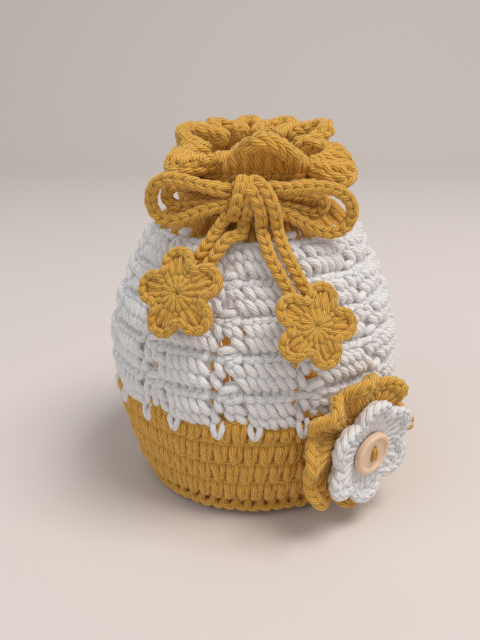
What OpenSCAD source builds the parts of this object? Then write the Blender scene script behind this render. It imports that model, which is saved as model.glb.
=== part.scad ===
// Crocheted drawstring bag: a cup-shaped base, a lace body, a gathered neck with a frill,
// a doubled chain drawstring tied in a bow with flower ends, and a sewn-on flower with a button.
// Millimetres, +Z up, bow towards -Y, origin at the middle of the flat underside.

/* [Fabric and cord] */
// Thickness of the crocheted fabric
wall = 4; // [3:0.25:4.5]
// Width of the crocheted chain that makes the drawstring
cord_d = 4.4; // [4:0.1:4.7]
// Clearance between pieces that move past each other
fit = 0.3; // [0.2:0.05:0.4]

/* [Bag] */
// Radius of the flat underside
foot_r = 41; // [38:0.5:42]
// Radius of the side wall, carried down to the underside
base_r = 43.5; // [42.5:0.5:46]
// Height of the rounded corner round the underside
foot_round = 5; // [3:0.5:7]
// Height of the seam between the base and the lace
seam_z = 38; // [32:1:44]
// Largest radius of the bag
belly_r = 54; // [51:0.5:58]
// Height of the largest radius
belly_z = 52; // [46:1:58]
// Radius where the lace ends at the shoulder
shoulder_r = 37.5; // [35:0.5:40]
// Height of the shoulder
shoulder_z = 96; // [90:1:102]
// Rows of stitches up the base
base_rows = 3; // [2:1:4]
// Depth of the groove between two rows
row_groove = 1.4; // [0.8:0.2:1.8]
// Tiers of stitches up the lace
lace_tiers = 5; // [4:1:6]
// Depth of the groove between two tiers
tier_groove = 1.6; // [0.8:0.2:2]
// Openings round each tier of the lace
lace_holes = 12; // [10:1:14]
// Width of an opening in the lace
lace_hole_w = 2; // [1.4:0.2:2.6]
// Height of an opening, as a share of its tier
lace_hole_share = 0.5; // [0.35:0.05:0.6]

/* [Neck and frill] */
// Radius of the ring of gathers
neck_r = 23.5; // [22:0.5:25]
// Height of the gathered slope from the shoulder to the neck
gather_h = 9; // [8:0.5:11]
// Number of gathers that the drawstring weaves between
gathers = 11; // [9:2:11]
// Thickness of one gather
gather_d = 3; // [2.4:0.2:3.2]
// Height of the hoop above the gathers
hoop_h = 2; // [1.5:0.25:3]
// Radius of the frill's rim, halfway between a lobe and a fold
frill_r = 29.5; // [28:0.5:31]
// How much narrower the frill is at the back
frill_back_in = 4; // [2:0.5:5]
// Height of the frill's lobes above the hoop, at the front
frill_h = 9; // [7:0.5:10]
// How much higher the frill stands at the back
frill_back_h = 4.5; // [2:0.5:6]
// Thickness of the frill
frill_t = 3.2; // [2.4:0.2:4]
// Number of lobes round the frill
frill_lobes = 8; // [7:1:9]
// How far the lobes stand out, and the folds between them in
frill_swing = 5; // [3:0.25:5.5]
// How far the lobe at the right side droops
frill_droop = 9; // [7:0.5:10]
// How far the lobe at the left side droops
frill_left_droop = 5; // [3:0.5:6]
// Share of its height that the frill loses in the folds
frill_dip = 0.7; // [0.4:0.05:0.75]

/* [Bow] */
// Radius of the knot
knot_r = 5.6; // [5:0.1:6.2]
// Height of the knot
knot_h = 13; // [11:0.5:15]
// Radius of the rounding at the knot's ends
knot_round = 3; // [2:0.25:4]
// Sideways place of the knot
knot_x = -3; // [-6:0.5:2]
// Place of the left tail, left of the knot
left_tail_out = 4.25; // [3.75:0.25:5]
// Place of the right tail, right of the knot
right_tail_out = 7.5; // [5.5:0.25:8.5]

/* [Tail flowers] */
// Radius of a tail flower
flower_r = 14; // [11:0.5:15]
// Radius between two petals of a tail flower
flower_notch_r = 8.5; // [6:0.5:10]
// Thickness of a tail flower
flower_t = 4; // [3:0.25:5]
// How far the petals of a tail flower bend back towards the bag
flower_droop = 2; // [0:0.25:2.5]
// Petals of a tail flower
flower_petals = 5; // [5:1:7]
// Azimuth of the left tail flower, from the front
left_flower_az = -25; // [-30:1:-23]
// Height of the left tail flower below the knot
left_flower_drop = 29; // [26:1:33]
// Azimuth of the right tail flower, from the front
right_flower_az = 18.5; // [16:0.5:24]
// Height of the right tail flower below the knot
right_flower_drop = 36.5; // [33:0.5:40]

/* [Sewn flower] */
// Azimuth of the sewn flower, from the front
patch_az = 39; // [30:1:50]
// Height of the middle of the sewn flower
patch_z = 30; // [28:1:34]
// How far the sewn flower faces down
patch_tilt = 5; // [3:0.5:7]
// Gap that the sewing yarn bridges behind the sewn flower
patch_gap = 1.4; // [1.2:0.1:3]
// Radius of the ruffled outer flower
ruffle_r = 25.5; // [22:0.5:26.5]
// Radius between two petals of the ruffled flower
ruffle_notch_r = 18.5; // [16:0.5:21]
// Thickness of the ruffled flower
ruffle_t = 3.4; // [2.6:0.2:4.2]
// How far the rim of the ruffled flower stands off the bag
ruffle_rise = 3; // [2:0.25:4]
// Depth of the waves at the rim of the ruffled flower
ruffle_wave = 2.2; // [0.5:0.1:2.4]
// Petals of the ruffled flower
ruffle_petals = 8; // [6:1:9]
// Radius of the inner flower
blossom_r = 18.5; // [15:0.5:19.5]
// Radius between two petals of the inner flower
blossom_notch_r = 12; // [9:0.5:14]
// Thickness of the inner flower
blossom_t = 3.4; // [2.6:0.2:4.2]
// How far the petals of the inner flower stand off the outer flower
blossom_rise = 3.6; // [3:0.2:5]
// Petals of the inner flower
blossom_petals = 6; // [5:1:7]
// Radius of the wooden button
button_r = 7.5; // [6.5:0.25:9]
// Thickness of the button at its rim
button_t = 2.6; // [2.2:0.2:3.6]
// Width of the button's raised rim
button_rim = 1.5; // [1:0.1:2.2]
// Depth of the dish inside the rim
button_dish = 0.7; // [0.4:0.1:1]
// Diameter of a hole in the button
button_hole_d = 2.2; // [1.8:0.1:2.6]
// Distance between the two holes
button_pitch = 4.4; // [3.6:0.2:5.2]
// Thickness of the yarn that sews the button on
thread_d = 1.6; // [1.2:0.1:1.7]

/* [Hidden] */

mustard = "#c89233";
cream = "#e9e4dd";
wood = "#cfae7d";
round_fn = 96;

// Exponents of the bag's profile below and above its largest radius
base_curve = 1.4;
shoulder_curve = 1.7;
// Height that the rows of the base start from
row_foot_z = 3;
// Exponent that makes the upper tiers of the lace lower than the bottom ones
tier_curve = 0.8;
// Azimuth of the openings in the lace
lace_turn = -14.5;
// Exponents of the frill's flare and of its round lobes, azimuths of the front lobe and of the two
// droops, and how much the lobes spread out at the front and crowd at the back
frill_flare = 1.2;
frill_round = 0.8;
frill_turn = 10;
frill_droop_az = 70;
frill_left_az = -62;
frill_crowd = 2;
// Share of the dip that is the same all round, and how far a drooping lobe reaches out for its droop
frill_dip_share = 0.65;
frill_droop_out = 0.33;
profile_steps = 12;

// Ring of gathers, with the two strands of the drawstring one above the other
collar_out_r = neck_r + wall / 2;
collar_in_r = neck_r - wall / 2;
neck_z = shoulder_z + gather_h;
strand_lower_z = neck_z + fit + cord_d / 2;
strand_upper_z = strand_lower_z + cord_d + fit;
hoop_z = strand_upper_z + cord_d / 2 + fit;
frill_z = hoop_z + hoop_h;
weave_swing = gather_d / 2 + cord_d / 2 + fit;
gather_pitch = 360 / gathers;
// The gap that the strands leave by is behind the knot
gather_turn = asin(knot_x / neck_r);
weave_step = 5;

// Roots where the loops and tails leave the knot
root_r = cord_d / 2 + 0.4;
strand_side = cord_d / 2 + fit / 2;
knot_z = (strand_lower_z + strand_upper_z) / 2;
loop_root_out = knot_r + fit + root_r;
tail_root_z = knot_z - knot_h / 2 - fit - root_r;
gather_slope = [shoulder_r - collar_out_r, gather_h];
slope_normal = [gather_slope[1], gather_slope[0]] / norm(gather_slope);
tail_root_y = -shoulder_r
    - (root_r + fit - (tail_root_z - shoulder_z) * slope_normal[1]) / slope_normal[0];
knot_forward = 2.2;
knot_y = tail_root_y + knot_forward;

// Lift of a tail's strands off the bag, and of the flower that lies on them
tail_lift = cord_d / 2 + 2 * fit;
flower_lift = tail_lift + cord_d / 2 + 2 * fit + flower_t / 2;

// Routes of the bow's loops from the knot and back: outwards, towards the bag, up
LEFT_OUTER = [
    [0, 0, 2.6], [4.5, -0.5, 4], [9.5, -0.8, 5.5], [14, -0.2, 6], [17.8, 1.2, 4.5], [19.8, 2.4, 1],
    [19.8, 2.8, -3], [17.4, 2.2, -6.2], [13, 1, -7], [8.5, 0.2, -5.5], [4, 0, -3.6], [0, 0, -2.6]
];
LEFT_INNER = [
    [0, 4.8, 2.6], [4, 4.8, 3], [8.5, 5, 3.4], [12.5, 5.6, 3.2], [15.4, 6.4, 1.4],
    [15.4, 6.6, -1.6], [12.4, 5.8, -3.6], [8, 5, -3.4], [4, 4.8, -3], [0, 4.8, -2.6]
];
RIGHT_OUTER = [
    [0, 0, 2.6], [5.5, -0.4, 3], [11, -0.4, 3.4], [16.2, 0.6, 3.2], [21, 1.8, 1.4], [24.3, 3, -2.2],
    [24.7, 3.4, -6.4], [21.8, 2.8, -10], [17, 1.8, -10.8], [11.6, 0.8, -8.6], [5.8, 0, -5.4], [0, 0, -2.6]
];
RIGHT_INNER = [
    [0, 4.8, 2.6], [4, 4.8, 2.2], [8.5, 5.4, 1.6], [12.5, 6.2, 0.8], [15.8, 7.2, -1.2],
    [16.2, 7.6, -4.2], [13.4, 7.2, -6], [8.5, 6, -4.8], [4, 5, -3.6], [0, 4.8, -2.6]
];
// Routes of the tails: azimuth, height below the tail's root, extra lift off the bag
LEFT_TAIL = [[-14.5, 4, 0.8], [-19.5, 8.5, 0.2], [-23.5, 12.5, 0]];
RIGHT_TAIL = [[7, 3, 1.2], [9.5, 7.5, 0.3], [12.5, 12, 0], [15.5, 17, 0], [18.5, 21, 0]];
// How far the two strands of each tail part halfway down
left_spread = 1.1;
right_spread = 1.4;

function base_wall_r(z) = belly_r - (belly_r - base_r) * pow((belly_z - z) / belly_z, base_curve);
function lace_wall_r(z) =
    belly_r - (belly_r - shoulder_r) * pow((z - belly_z) / (shoulder_z - belly_z), shoulder_curve);
function gather_slope_r(z) = shoulder_r + (collar_out_r - shoulder_r) * (z - shoulder_z) / gather_h;
function skin_r(z) = z < belly_z ? base_wall_r(z) : z < shoulder_z ? lace_wall_r(z) : gather_slope_r(z);

// Upward tilt of the bag's surface normal at a height
function skin_tilt(z) = atan2(skin_r(z - 0.5) - skin_r(z + 0.5), 1);

// Depth of the fabric's relief: grooves between rows, a number of steps in each row, none at the ends
function groove(i, row_steps, steps, depth) =
    let (share = i / row_steps - round(i / row_steps), inside = i > 1 && i < steps - 1)
    inside ? depth * pow(1 - 2 * abs(share), 3) : 0;

// Heights from one level to another in equal steps
function levels(from, to, steps) = [for (i = [0 : steps]) from + (to - from) * i / steps];

function unit(v) = v / norm(v);

// Point off the bag's surface, at an azimuth from the front and along the surface normal
function off_skin(az, z, lift) =
    let (tilt = skin_tilt(z), r = skin_r(z) + lift * cos(tilt))
    [r * sin(az), -r * cos(az), z + lift * sin(tilt)];

// Direction of travel at each point of a route
function headings(route) =
    [for (i = [0 : len(route) - 1]) unit(route[min(i + 1, len(route) - 1)] - route[max(i - 1, 0)])];

// Sideways direction at each point, carried along the route without twisting
function carried_sides(heading, side, i = 0) =
    let (flat = unit(side - heading[i] * (side * heading[i])))
    i == len(heading) - 1 ? [flat] : concat([flat], carried_sides(heading, flat, i + 1));

// Round cord along a route
module cord(route, first_side, sides = 8) {
    heading = headings(route);
    side = carried_sides(heading, first_side);
    rings = len(route);
    points = [
        for (i = [0 : rings - 1])
            for (k = [0 : sides - 1])
                let (turn = 360 * (k + 0.5) / sides)
                route[i] + cord_d / 2 * (cos(turn) * side[i] + sin(turn) * cross(heading[i], side[i]))
    ];
    skin = [
        for (i = [0 : rings - 2])
            for (k = [0 : sides - 1])
                let (a = i * sides + k, b = i * sides + (k + 1) % sides)
                each [[a, a + sides, b], [b, a + sides, b + sides]]
    ];
    start_cap = [[for (k = [0 : sides - 1]) k]];
    end_cap = [[for (k = [sides - 1 : -1 : 0]) (rings - 1) * sides + k]];
    polyhedron(points, concat(skin, start_cap, end_cap));
}

// Flower of round petals: flat hub, notched rim, bent by rise and waved along the rim
module petals(count, rim_r, notch_r, thick, rise, wave = 0, waves = 0) {
    hub_r = 2;
    petal_steps = 12;
    rows = 5;
    turns = count * petal_steps;
    edge_share = 0.3;
    function rim(a) = notch_r + (rim_r - notch_r) * pow(abs(cos(count * a / 2)), 0.6);
    function reach(j, a) = hub_r + (rim(a) - hub_r) * j / rows;
    function bend(r, a) = pow(r / rim_r, 2) * (rise + wave * cos(waves * a));
    function half(j) = thick / 2 * (edge_share + (1 - edge_share) * sqrt(1 - pow(j / rows, 3)));
    function at(j, a, face) =
        let (r = reach(j, a))
        [r * cos(a), r * sin(a), bend(r, a) + face * half(j)];
    ring_points = [
        for (face = [-1, 1])
            for (j = [0 : rows])
                for (k = [0 : turns - 1])
                    at(j, 360 * k / turns, face)
    ];
    sheet = (rows + 1) * turns;
    hub = [[0, 0, -thick / 2], [0, 0, thick / 2]];
    back_hub = 2 * sheet;
    front_hub = back_hub + 1;
    faces = [
        for (k = [0 : turns - 1])
            let (n = (k + 1) % turns, rim_row = rows * turns)
            each concat(
                [[back_hub, k, n], [front_hub, sheet + n, sheet + k]],
                [for (j = [0 : rows - 1]) each let (a = j * turns + k, b = j * turns + n)
                    [
                        [a, a + turns, b], [b, a + turns, b + turns],
                        [sheet + a, sheet + b, sheet + a + turns],
                        [sheet + b, sheet + b + turns, sheet + a + turns]
                    ]],
                [
                    [rim_row + k, sheet + rim_row + k, rim_row + n],
                    [rim_row + n, sheet + rim_row + k, sheet + rim_row + n]
                ])
    ];
    polyhedron(concat(ring_points, hub), faces);
}

// Crocheted base with a flat bottom, a rounded corner and a rising wall of rows between grooves
module base_cup() {
    inner_round = 2;
    row_steps = 4;
    steps = base_rows * row_steps;
    function mark(i) = row_foot_z + (seam_z - row_foot_z) * i / steps;
    corner_r = skin_r(foot_round);
    corner = [
        for (turn = [0 : 15 : 75])
            [foot_r + (corner_r - foot_r) * sin(turn), foot_round * (1 - cos(turn))]
    ];
    inner_z = wall + inner_round;
    outer = [
        for (i = [0 : steps])
            if (mark(i) > foot_round)
                [skin_r(mark(i)) - groove(i, row_steps, steps, row_groove), mark(i)]
    ];
    inner = [for (z = levels(seam_z, inner_z, profile_steps)) [skin_r(z) - wall, z]];
    floor_edge = [[skin_r(inner_z) - wall - inner_round, wall], [0, wall]];
    color(mustard)
        rotate_extrude($fn = round_fn)
            polygon(concat([[0, 0]], corner, outer, inner, floor_edge));
}

// Lace wall from the seam over the belly to the shoulder, in tiers that swell between grooves,
// each with a ring of upright openings
module lace_body() {
    tier_steps = 4;
    steps = lace_tiers * tier_steps;
    function mark(i) = seam_z + (shoulder_z - seam_z) * pow(i / steps, tier_curve);
    outer = [
        for (i = [0 : steps])
            [skin_r(mark(i)) - groove(i, tier_steps, steps, tier_groove), mark(i)]
    ];
    inner = [for (i = [steps : -1 : 0]) [skin_r(mark(i)) - wall, mark(i)]];
    color(cream)
        difference() {
            rotate_extrude($fn = round_fn)
                polygon(concat(outer, inner));
            for (tier = [0 : lace_tiers - 1])
                let (
                    low = mark(tier * tier_steps),
                    high = mark((tier + 1) * tier_steps),
                    z = (low + high) / 2,
                    tall = (high - low) * lace_hole_share
                )
                for (k = [0 : lace_holes - 1])
                    rotate(lace_turn + 360 * k / lace_holes - 90)
                        translate([skin_r(z) - wall / 2, 0, z])
                            rotate([0, -skin_tilt(z), 0])
                                cube([3 * wall, lace_hole_w, tall], center = true);
        }
}

// Gathered slope, the gathers that the drawstring weaves between, and the hoop that the frill stands on
module eyelet_band() {
    color(mustard) {
        rotate_extrude($fn = round_fn)
            polygon([
                [shoulder_r - wall, shoulder_z], [shoulder_r, shoulder_z],
                [collar_out_r, neck_z], [collar_in_r, neck_z]
            ]);
        for (i = [0 : gathers - 1])
            rotate(gather_turn + gather_pitch * (i + 0.5) - 90)
                translate([neck_r, 0, neck_z - wall / 4])
                    cylinder(h = hoop_z - neck_z + wall / 4 + hoop_h / 2, d = gather_d, $fn = 32);
        translate([0, 0, hoop_z])
            rotate_extrude($fn = round_fn)
                translate([collar_in_r, 0])
                    square([wall, hoop_h]);
    }
}

// Ruffled frill that rises from the hoop in lobes and folds, with a lobe that droops at each side
module frill() {
    rows = 6;
    turns = frill_lobes * 12;
    function phase(a) = frill_lobes * (a - frill_turn) - frill_crowd * 180 / PI * (sin(a) - sin(frill_turn));
    function back(a) = (1 - cos(a)) / 2;
    function ruffle(a) = 2 * pow(abs(cos(phase(a) / 2)), frill_round) - 1;
    function dip(a) = frill_dip * (frill_dip_share + (1 - frill_dip_share) * cos(a)) * (1 - ruffle(a)) / 2;
    function height(a) = (frill_h + frill_back_h * back(a)) * (1 - dip(a));
    function near(a, middle_az) = pow(max(0, cos(a - middle_az)), 4);
    function droop(a) = frill_droop * near(a, frill_droop_az) + frill_left_droop * near(a, frill_left_az);
    function sag(a) = droop(a) * (1 + ruffle(a)) / 2;
    function spread(a) = frill_r - neck_r - frill_back_in * back(a);
    function middle(u, a) =
        let (out = frill_swing * ruffle(a) + frill_droop_out * sag(a))
        [neck_r + spread(a) * pow(u, frill_flare) + out * u * u,
         frill_z + height(a) * (1 - pow(1 - u, 2)) - sag(a) * u * u];
    function lean(u, a) =
        let (step = 0.02, rise = middle(u, a) - middle(u - step, a))
        u == 0 ? [1, 0] : unit([rise[1], -rise[0]]);
    function at(u, a, face) =
        let (thick = u == 0 ? wall : frill_t, p = middle(u, a) + face * thick / 2 * lean(u, a))
        [p[0] * sin(a), -p[0] * cos(a), p[1]];
    sheet = (rows + 1) * turns;
    points = [
        for (face = [1, -1])
            for (i = [0 : rows])
                for (k = [0 : turns - 1])
                    at(i / rows, 360 * k / turns, face)
    ];
    faces = [
        for (k = [0 : turns - 1])
            let (n = (k + 1) % turns, rim_row = rows * turns)
            each concat(
                [for (i = [0 : rows - 1]) each let (a = i * turns + k, b = i * turns + n)
                    [
                        [a, a + turns, b], [b, a + turns, b + turns],
                        [sheet + a, sheet + b, sheet + a + turns],
                        [sheet + b, sheet + b + turns, sheet + a + turns]
                    ]],
                [
                    [k, n, sheet + k], [n, sheet + n, sheet + k],
                    [rim_row + k, sheet + rim_row + k, rim_row + n],
                    [rim_row + n, sheet + rim_row + k, sheet + rim_row + n]
                ])
    ];
    color(mustard) polyhedron(points, faces);
}

// One strand of the drawstring, in and out of the gathers and forward to the knot on both sides
module neck_strand(z) {
    back_y = knot_y + knot_r + fit;
    gate_y = -(neck_r + 1);
    first = gather_pitch / 2 - 8;
    function weave_r(az) = neck_r - weave_swing * cos(gathers / 2 * (az - gather_pitch / 2));
    function weave(az) =
        [weave_r(az) * sin(gather_turn + az), -weave_r(az) * cos(gather_turn + az), z];
    steps = round((360 - 2 * first) / weave_step);
    ring = [for (az = levels(first, 360 - first, steps)) weave(az)];
    right = knot_x + strand_side;
    left = knot_x - strand_side;
    start = [[right, back_y, z], [right, gate_y, z]];
    finish = [[left, gate_y, z], [left, back_y, z]];
    color(mustard) cord(concat(start, ring, finish), [0, 0, 1]);
}

module neck_strand_lower() { neck_strand(strand_lower_z); }
module neck_strand_upper() { neck_strand(strand_upper_z); }

// Barrel-shaped knot of the bow
module bow_knot() {
    flat_h = knot_h / 2 - knot_round;
    top_arc = [
        for (turn = [0 : 15 : 90])
            [knot_r - knot_round + knot_round * cos(turn), flat_h + knot_round * sin(turn)]
    ];
    bottom_arc = [
        for (turn = [-90 : 15 : 0])
            [knot_r - knot_round + knot_round * cos(turn), -flat_h + knot_round * sin(turn)]
    ];
    color(mustard)
        translate([knot_x, knot_y, knot_z])
            rotate_extrude($fn = 64)
                polygon(concat([[0, -knot_h / 2]], bottom_arc, top_arc, [[0, knot_h / 2]]));
}

// One strand of a bow loop with the round root that turns beside the knot; side is -1 left, 1 right
module bow_loop(side, route) {
    root = [knot_x + side * loop_root_out, knot_y, knot_z];
    path = [for (p = route) root + [side * p[0], p[1], p[2]]];
    color(mustard) {
        cord(path, [0, 1, 0]);
        translate([root[0], knot_y + route[0][1], knot_z])
            rotate([90, 0, 0])
                cylinder(h = cord_d, r = root_r, center = true, $fn = 48);
    }
}

module left_loop_outer() { bow_loop(-1, LEFT_OUTER); }
module left_loop_inner() { bow_loop(-1, LEFT_INNER); }
module right_loop_outer() { bow_loop(1, RIGHT_OUTER); }
module right_loop_inner() { bow_loop(1, RIGHT_INNER); }

// One strand of a tail, with the round root that turns below the knot; lane is -1 or 1 across the tail
module tail_strand(root_x, route, flower_az, flower_drop, lane, spread) {
    root = [root_x, tail_root_y, tail_root_z];
    way = [for (p = route) off_skin(p[0], tail_root_z - p[1], tail_lift + p[2])];
    end = off_skin(flower_az, knot_z - flower_drop, tail_lift);
    middle = concat([root], way, [end]);
    heading = headings(middle);
    steps = len(middle) - 1;
    path = [
        for (i = [0 : steps])
            let (
                apart = strand_side + spread * sin(180 * i / steps),
                round_bag = unit(cross([0, 0, 1], [middle[i][0], middle[i][1], 0])),
                across = i == 0 ? [1, 0, 0] : round_bag,
                level = across - heading[i] * (across * heading[i])
            )
            middle[i] + lane * apart * (i == 0 ? across / norm(level) : unit(level))
    ];
    color(mustard) {
        cord(path, [1, 0, 0]);
        translate(path[0])
            rotate([0, 90, 0])
                cylinder(h = cord_d, r = root_r, center = true, $fn = 48);
    }
}

module left_tail(lane) {
    tail_strand(knot_x - left_tail_out, LEFT_TAIL, left_flower_az, left_flower_drop, lane, left_spread);
}
module right_tail(lane) {
    tail_strand(knot_x + right_tail_out, RIGHT_TAIL, right_flower_az, right_flower_drop, lane, right_spread);
}
module left_tail_outer() { left_tail(-1); }
module left_tail_inner() { left_tail(1); }
module right_tail_outer() { right_tail(1); }
module right_tail_inner() { right_tail(-1); }

// Five-petal flower that ends a tail, lying on the tail's strands
module tail_flower(az, drop, turn) {
    z = knot_z - drop;
    color(mustard)
        translate(off_skin(az, z, flower_lift))
            rotate([90 - skin_tilt(z), 0, az])
                rotate(turn)
                    petals(flower_petals, flower_r, flower_notch_r, flower_t, -flower_droop);
}

module left_tail_flower() { tail_flower(left_flower_az, left_flower_drop, 103); }
module right_tail_flower() { tail_flower(right_flower_az, right_flower_drop, 70); }

// Frame of the sewn flower: +Z away from the bag, starting at the bag's surface
module on_patch(lift) {
    translate([skin_r(patch_z) * sin(patch_az), -skin_r(patch_z) * cos(patch_az), patch_z])
        rotate([90 + patch_tilt, 0, patch_az])
            translate([0, 0, lift])
                children();
}

ruffle_lift = patch_gap + ruffle_t / 2;
blossom_lift = ruffle_lift + ruffle_t / 2 + fit + blossom_t / 2;
button_seat = fit + blossom_rise * pow(button_r / blossom_r, 2);
button_lift = blossom_lift + blossom_t / 2 + button_seat;
stitch_ring_r = 6;
stitches = 6;
// How much thicker the yarn is where it turns over the button's face
thread_bulge = 0.3;

module applique_ruffle() {
    color(mustard)
        on_patch(ruffle_lift)
            petals(
                ruffle_petals, ruffle_r, ruffle_notch_r, ruffle_t, ruffle_rise, ruffle_wave, ruffle_petals
            );
}

module applique_blossom() {
    color(cream)
        on_patch(blossom_lift)
            rotate(30)
                petals(blossom_petals, blossom_r, blossom_notch_r, blossom_t, blossom_rise);
}

// Wooden button with a raised rim, a dished middle and two holes
module applique_button() {
    edge = button_t / 4;
    dish_r = button_r - button_rim;
    color(wood)
        on_patch(button_lift)
            difference() {
                rotate_extrude($fn = 64)
                    polygon([
                        [0, 0], [button_r - edge, 0], [button_r, edge], [button_r, button_t - edge],
                        [button_r - edge, button_t], [dish_r, button_t],
                        [dish_r - button_dish, button_t - button_dish], [0, button_t - button_dish]
                    ]);
                for (side = [-1, 1])
                    translate([0, side * button_pitch / 2, -1])
                        cylinder(h = button_t + 2, d = button_hole_d, $fn = 32);
            }
}

// Yarn through both holes, with a bar across the front
module button_thread() {
    front = button_t - button_dish + thread_d / 2;
    root = button_seat - fit;
    color(mustard)
        on_patch(button_lift) {
            for (side = [-1, 1])
                translate([0, side * button_pitch / 2, -root]) {
                    cylinder(h = root + front, d = thread_d, $fn = 32);
                    translate([0, 0, root + front])
                        sphere(d = thread_d + thread_bulge, $fn = 32);
                }
            translate([0, 0, front])
                rotate([90, 0, 0])
                    cylinder(h = button_pitch, d = thread_d, center = true, $fn = 32);
        }
}

// Depth of the bag's surface below the sewn flower's frame, at a place in that frame
function patch_depth(x, y) =
    let (z = patch_z + y * cos(patch_tilt), r = skin_r(z))
    skin_r(patch_z) + y * sin(patch_tilt) - sqrt(r * r - x * x);

// Sewing yarn that ties the outer flower to the bag's wall
module applique_stitches() {
    color(mustard)
        on_patch(0)
            for (i = [0 : stitches - 1])
                let (
                    turn = 360 * i / stitches,
                    depth = patch_depth(stitch_ring_r * cos(turn), stitch_ring_r * sin(turn))
                )
                rotate(turn)
                    translate([stitch_ring_r, 0, thread_d / 4 - depth])
                        cylinder(h = patch_gap - thread_d / 8 + depth - thread_d / 4, d = thread_d, $fn = 32);
}

base_cup();
lace_body();
eyelet_band();
frill();
neck_strand_lower();
neck_strand_upper();
bow_knot();
left_loop_outer();
left_loop_inner();
right_loop_outer();
right_loop_inner();
left_tail_outer();
left_tail_inner();
right_tail_outer();
right_tail_inner();
left_tail_flower();
right_tail_flower();
applique_ruffle();
applique_blossom();
applique_button();
button_thread();
applique_stitches();
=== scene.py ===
"""Crocheted drawstring bag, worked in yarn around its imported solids.

Lengths are in millimetres until a mesh is made. An azimuth is measured in degrees from the front of
the bag, -Y, and grows towards +X. Heights are above the underside.
"""
import logging
import math
from dataclasses import dataclass, field
from enum import Enum
from typing import Sequence

import bpy
import numpy as np
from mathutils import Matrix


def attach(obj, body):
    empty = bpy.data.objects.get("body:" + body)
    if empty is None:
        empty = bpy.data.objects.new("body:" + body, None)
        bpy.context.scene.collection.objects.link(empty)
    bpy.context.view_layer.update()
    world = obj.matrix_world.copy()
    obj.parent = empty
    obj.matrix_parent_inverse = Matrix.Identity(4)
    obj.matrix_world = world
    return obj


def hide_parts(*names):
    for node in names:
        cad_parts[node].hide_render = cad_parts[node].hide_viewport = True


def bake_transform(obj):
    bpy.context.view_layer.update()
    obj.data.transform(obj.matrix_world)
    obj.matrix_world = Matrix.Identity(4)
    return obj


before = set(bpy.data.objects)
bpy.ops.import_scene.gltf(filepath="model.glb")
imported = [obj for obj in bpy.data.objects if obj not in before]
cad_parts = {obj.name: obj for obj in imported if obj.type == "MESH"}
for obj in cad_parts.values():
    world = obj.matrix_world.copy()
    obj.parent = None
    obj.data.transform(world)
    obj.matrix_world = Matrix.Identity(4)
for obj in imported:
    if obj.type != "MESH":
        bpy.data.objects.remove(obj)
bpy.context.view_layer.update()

LOG = logging.getLogger("drawstring_bag")
MM = 0.001
SEED = 7
FOOT_SHARE = 0.75
Point = tuple[float, float, float]
Colour = tuple[float, float, float]
Bend = tuple[np.ndarray, np.ndarray]


class Body(Enum):
    """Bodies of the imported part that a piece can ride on."""

    BAG = "bag"
    LEFT_LOOP = "left_loop"
    RIGHT_LOOP = "right_loop"
    LEFT_TAIL = "left_tail"
    RIGHT_TAIL = "right_tail"


class Slot(Enum):
    """Material slots of the record."""

    MUSTARD = "mustard_yarn"
    CREAM = "cream_yarn"
    WOOD = "button_wood"


class Side(Enum):
    """Left or right, as the bag is seen from the front."""

    LEFT = -1
    RIGHT = 1


class FarEnd(Enum):
    """What holds the far end of a cord."""

    KNOT = "object"
    FLOWER = "fitting"


class Lay(Enum):
    """How a cord lies."""

    LOOSE = "loose"
    HANGING = "hanging"


class Wire:
    """A shader socket that can stand in a Python expression."""

    def __init__(self, shader: "Shader", socket: bpy.types.NodeSocket) -> None:
        """Keep the socket and the shader that new nodes go into."""
        self.shader = shader
        self.socket = socket

    def _with(self, operation: str, *terms: "Wire | float") -> "Wire":
        """Result of a new Math node on the terms."""
        return self.shader.wire("ShaderNodeMath", 0, dict(enumerate(terms)), operation=operation)

    def __add__(self, other: "Wire | float") -> "Wire":
        """Sum."""
        return self._with("ADD", self, other)

    __radd__ = __add__

    def __mul__(self, other: "Wire | float") -> "Wire":
        """Product."""
        return self._with("MULTIPLY", self, other)

    def __pow__(self, other: float) -> "Wire":
        """Power."""
        return self._with("POWER", self, other)

    def sine(self) -> "Wire":
        """Sine of an angle in radians."""
        return self._with("SINE", self)

    def angle_from(self, cosine: "Wire") -> "Wire":
        """Angle whose sine is this wire and whose cosine is the other."""
        return self._with("ARCTAN2", self, cosine)


class Nodes:
    """A node tree, with one method that makes its nodes."""

    def __init__(self, tree: bpy.types.NodeTree) -> None:
        """Keep the tree."""
        self.tree = tree

    def node(self, kind: str, values: dict, **settings: object) -> bpy.types.bpy_prop_collection:
        """Make one node, with its settings first and then its inputs.

        Args:
            kind: the node's type name.
            values: numbers, colours, sockets or wires by input name or index.
            settings: properties of the node.

        Returns:
            The new node's outputs.
        """
        node = self.tree.nodes.new(kind)
        for key, value in settings.items():
            setattr(node, key, value)
        for key, value in values.items():
            self.feed(node.inputs[key], value)
        return node.outputs

    def feed(self, entry: bpy.types.NodeSocket, value: object) -> None:
        """Link a socket or wire to an input, or set the input's own value.

        Args:
            entry: the input.
            value: a socket, wire, number, colour or word.
        """
        source = value.socket if isinstance(value, Wire) else value
        if isinstance(source, bpy.types.NodeSocket):
            self.tree.links.new(source, entry)
        else:
            entry.default_value = source


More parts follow.
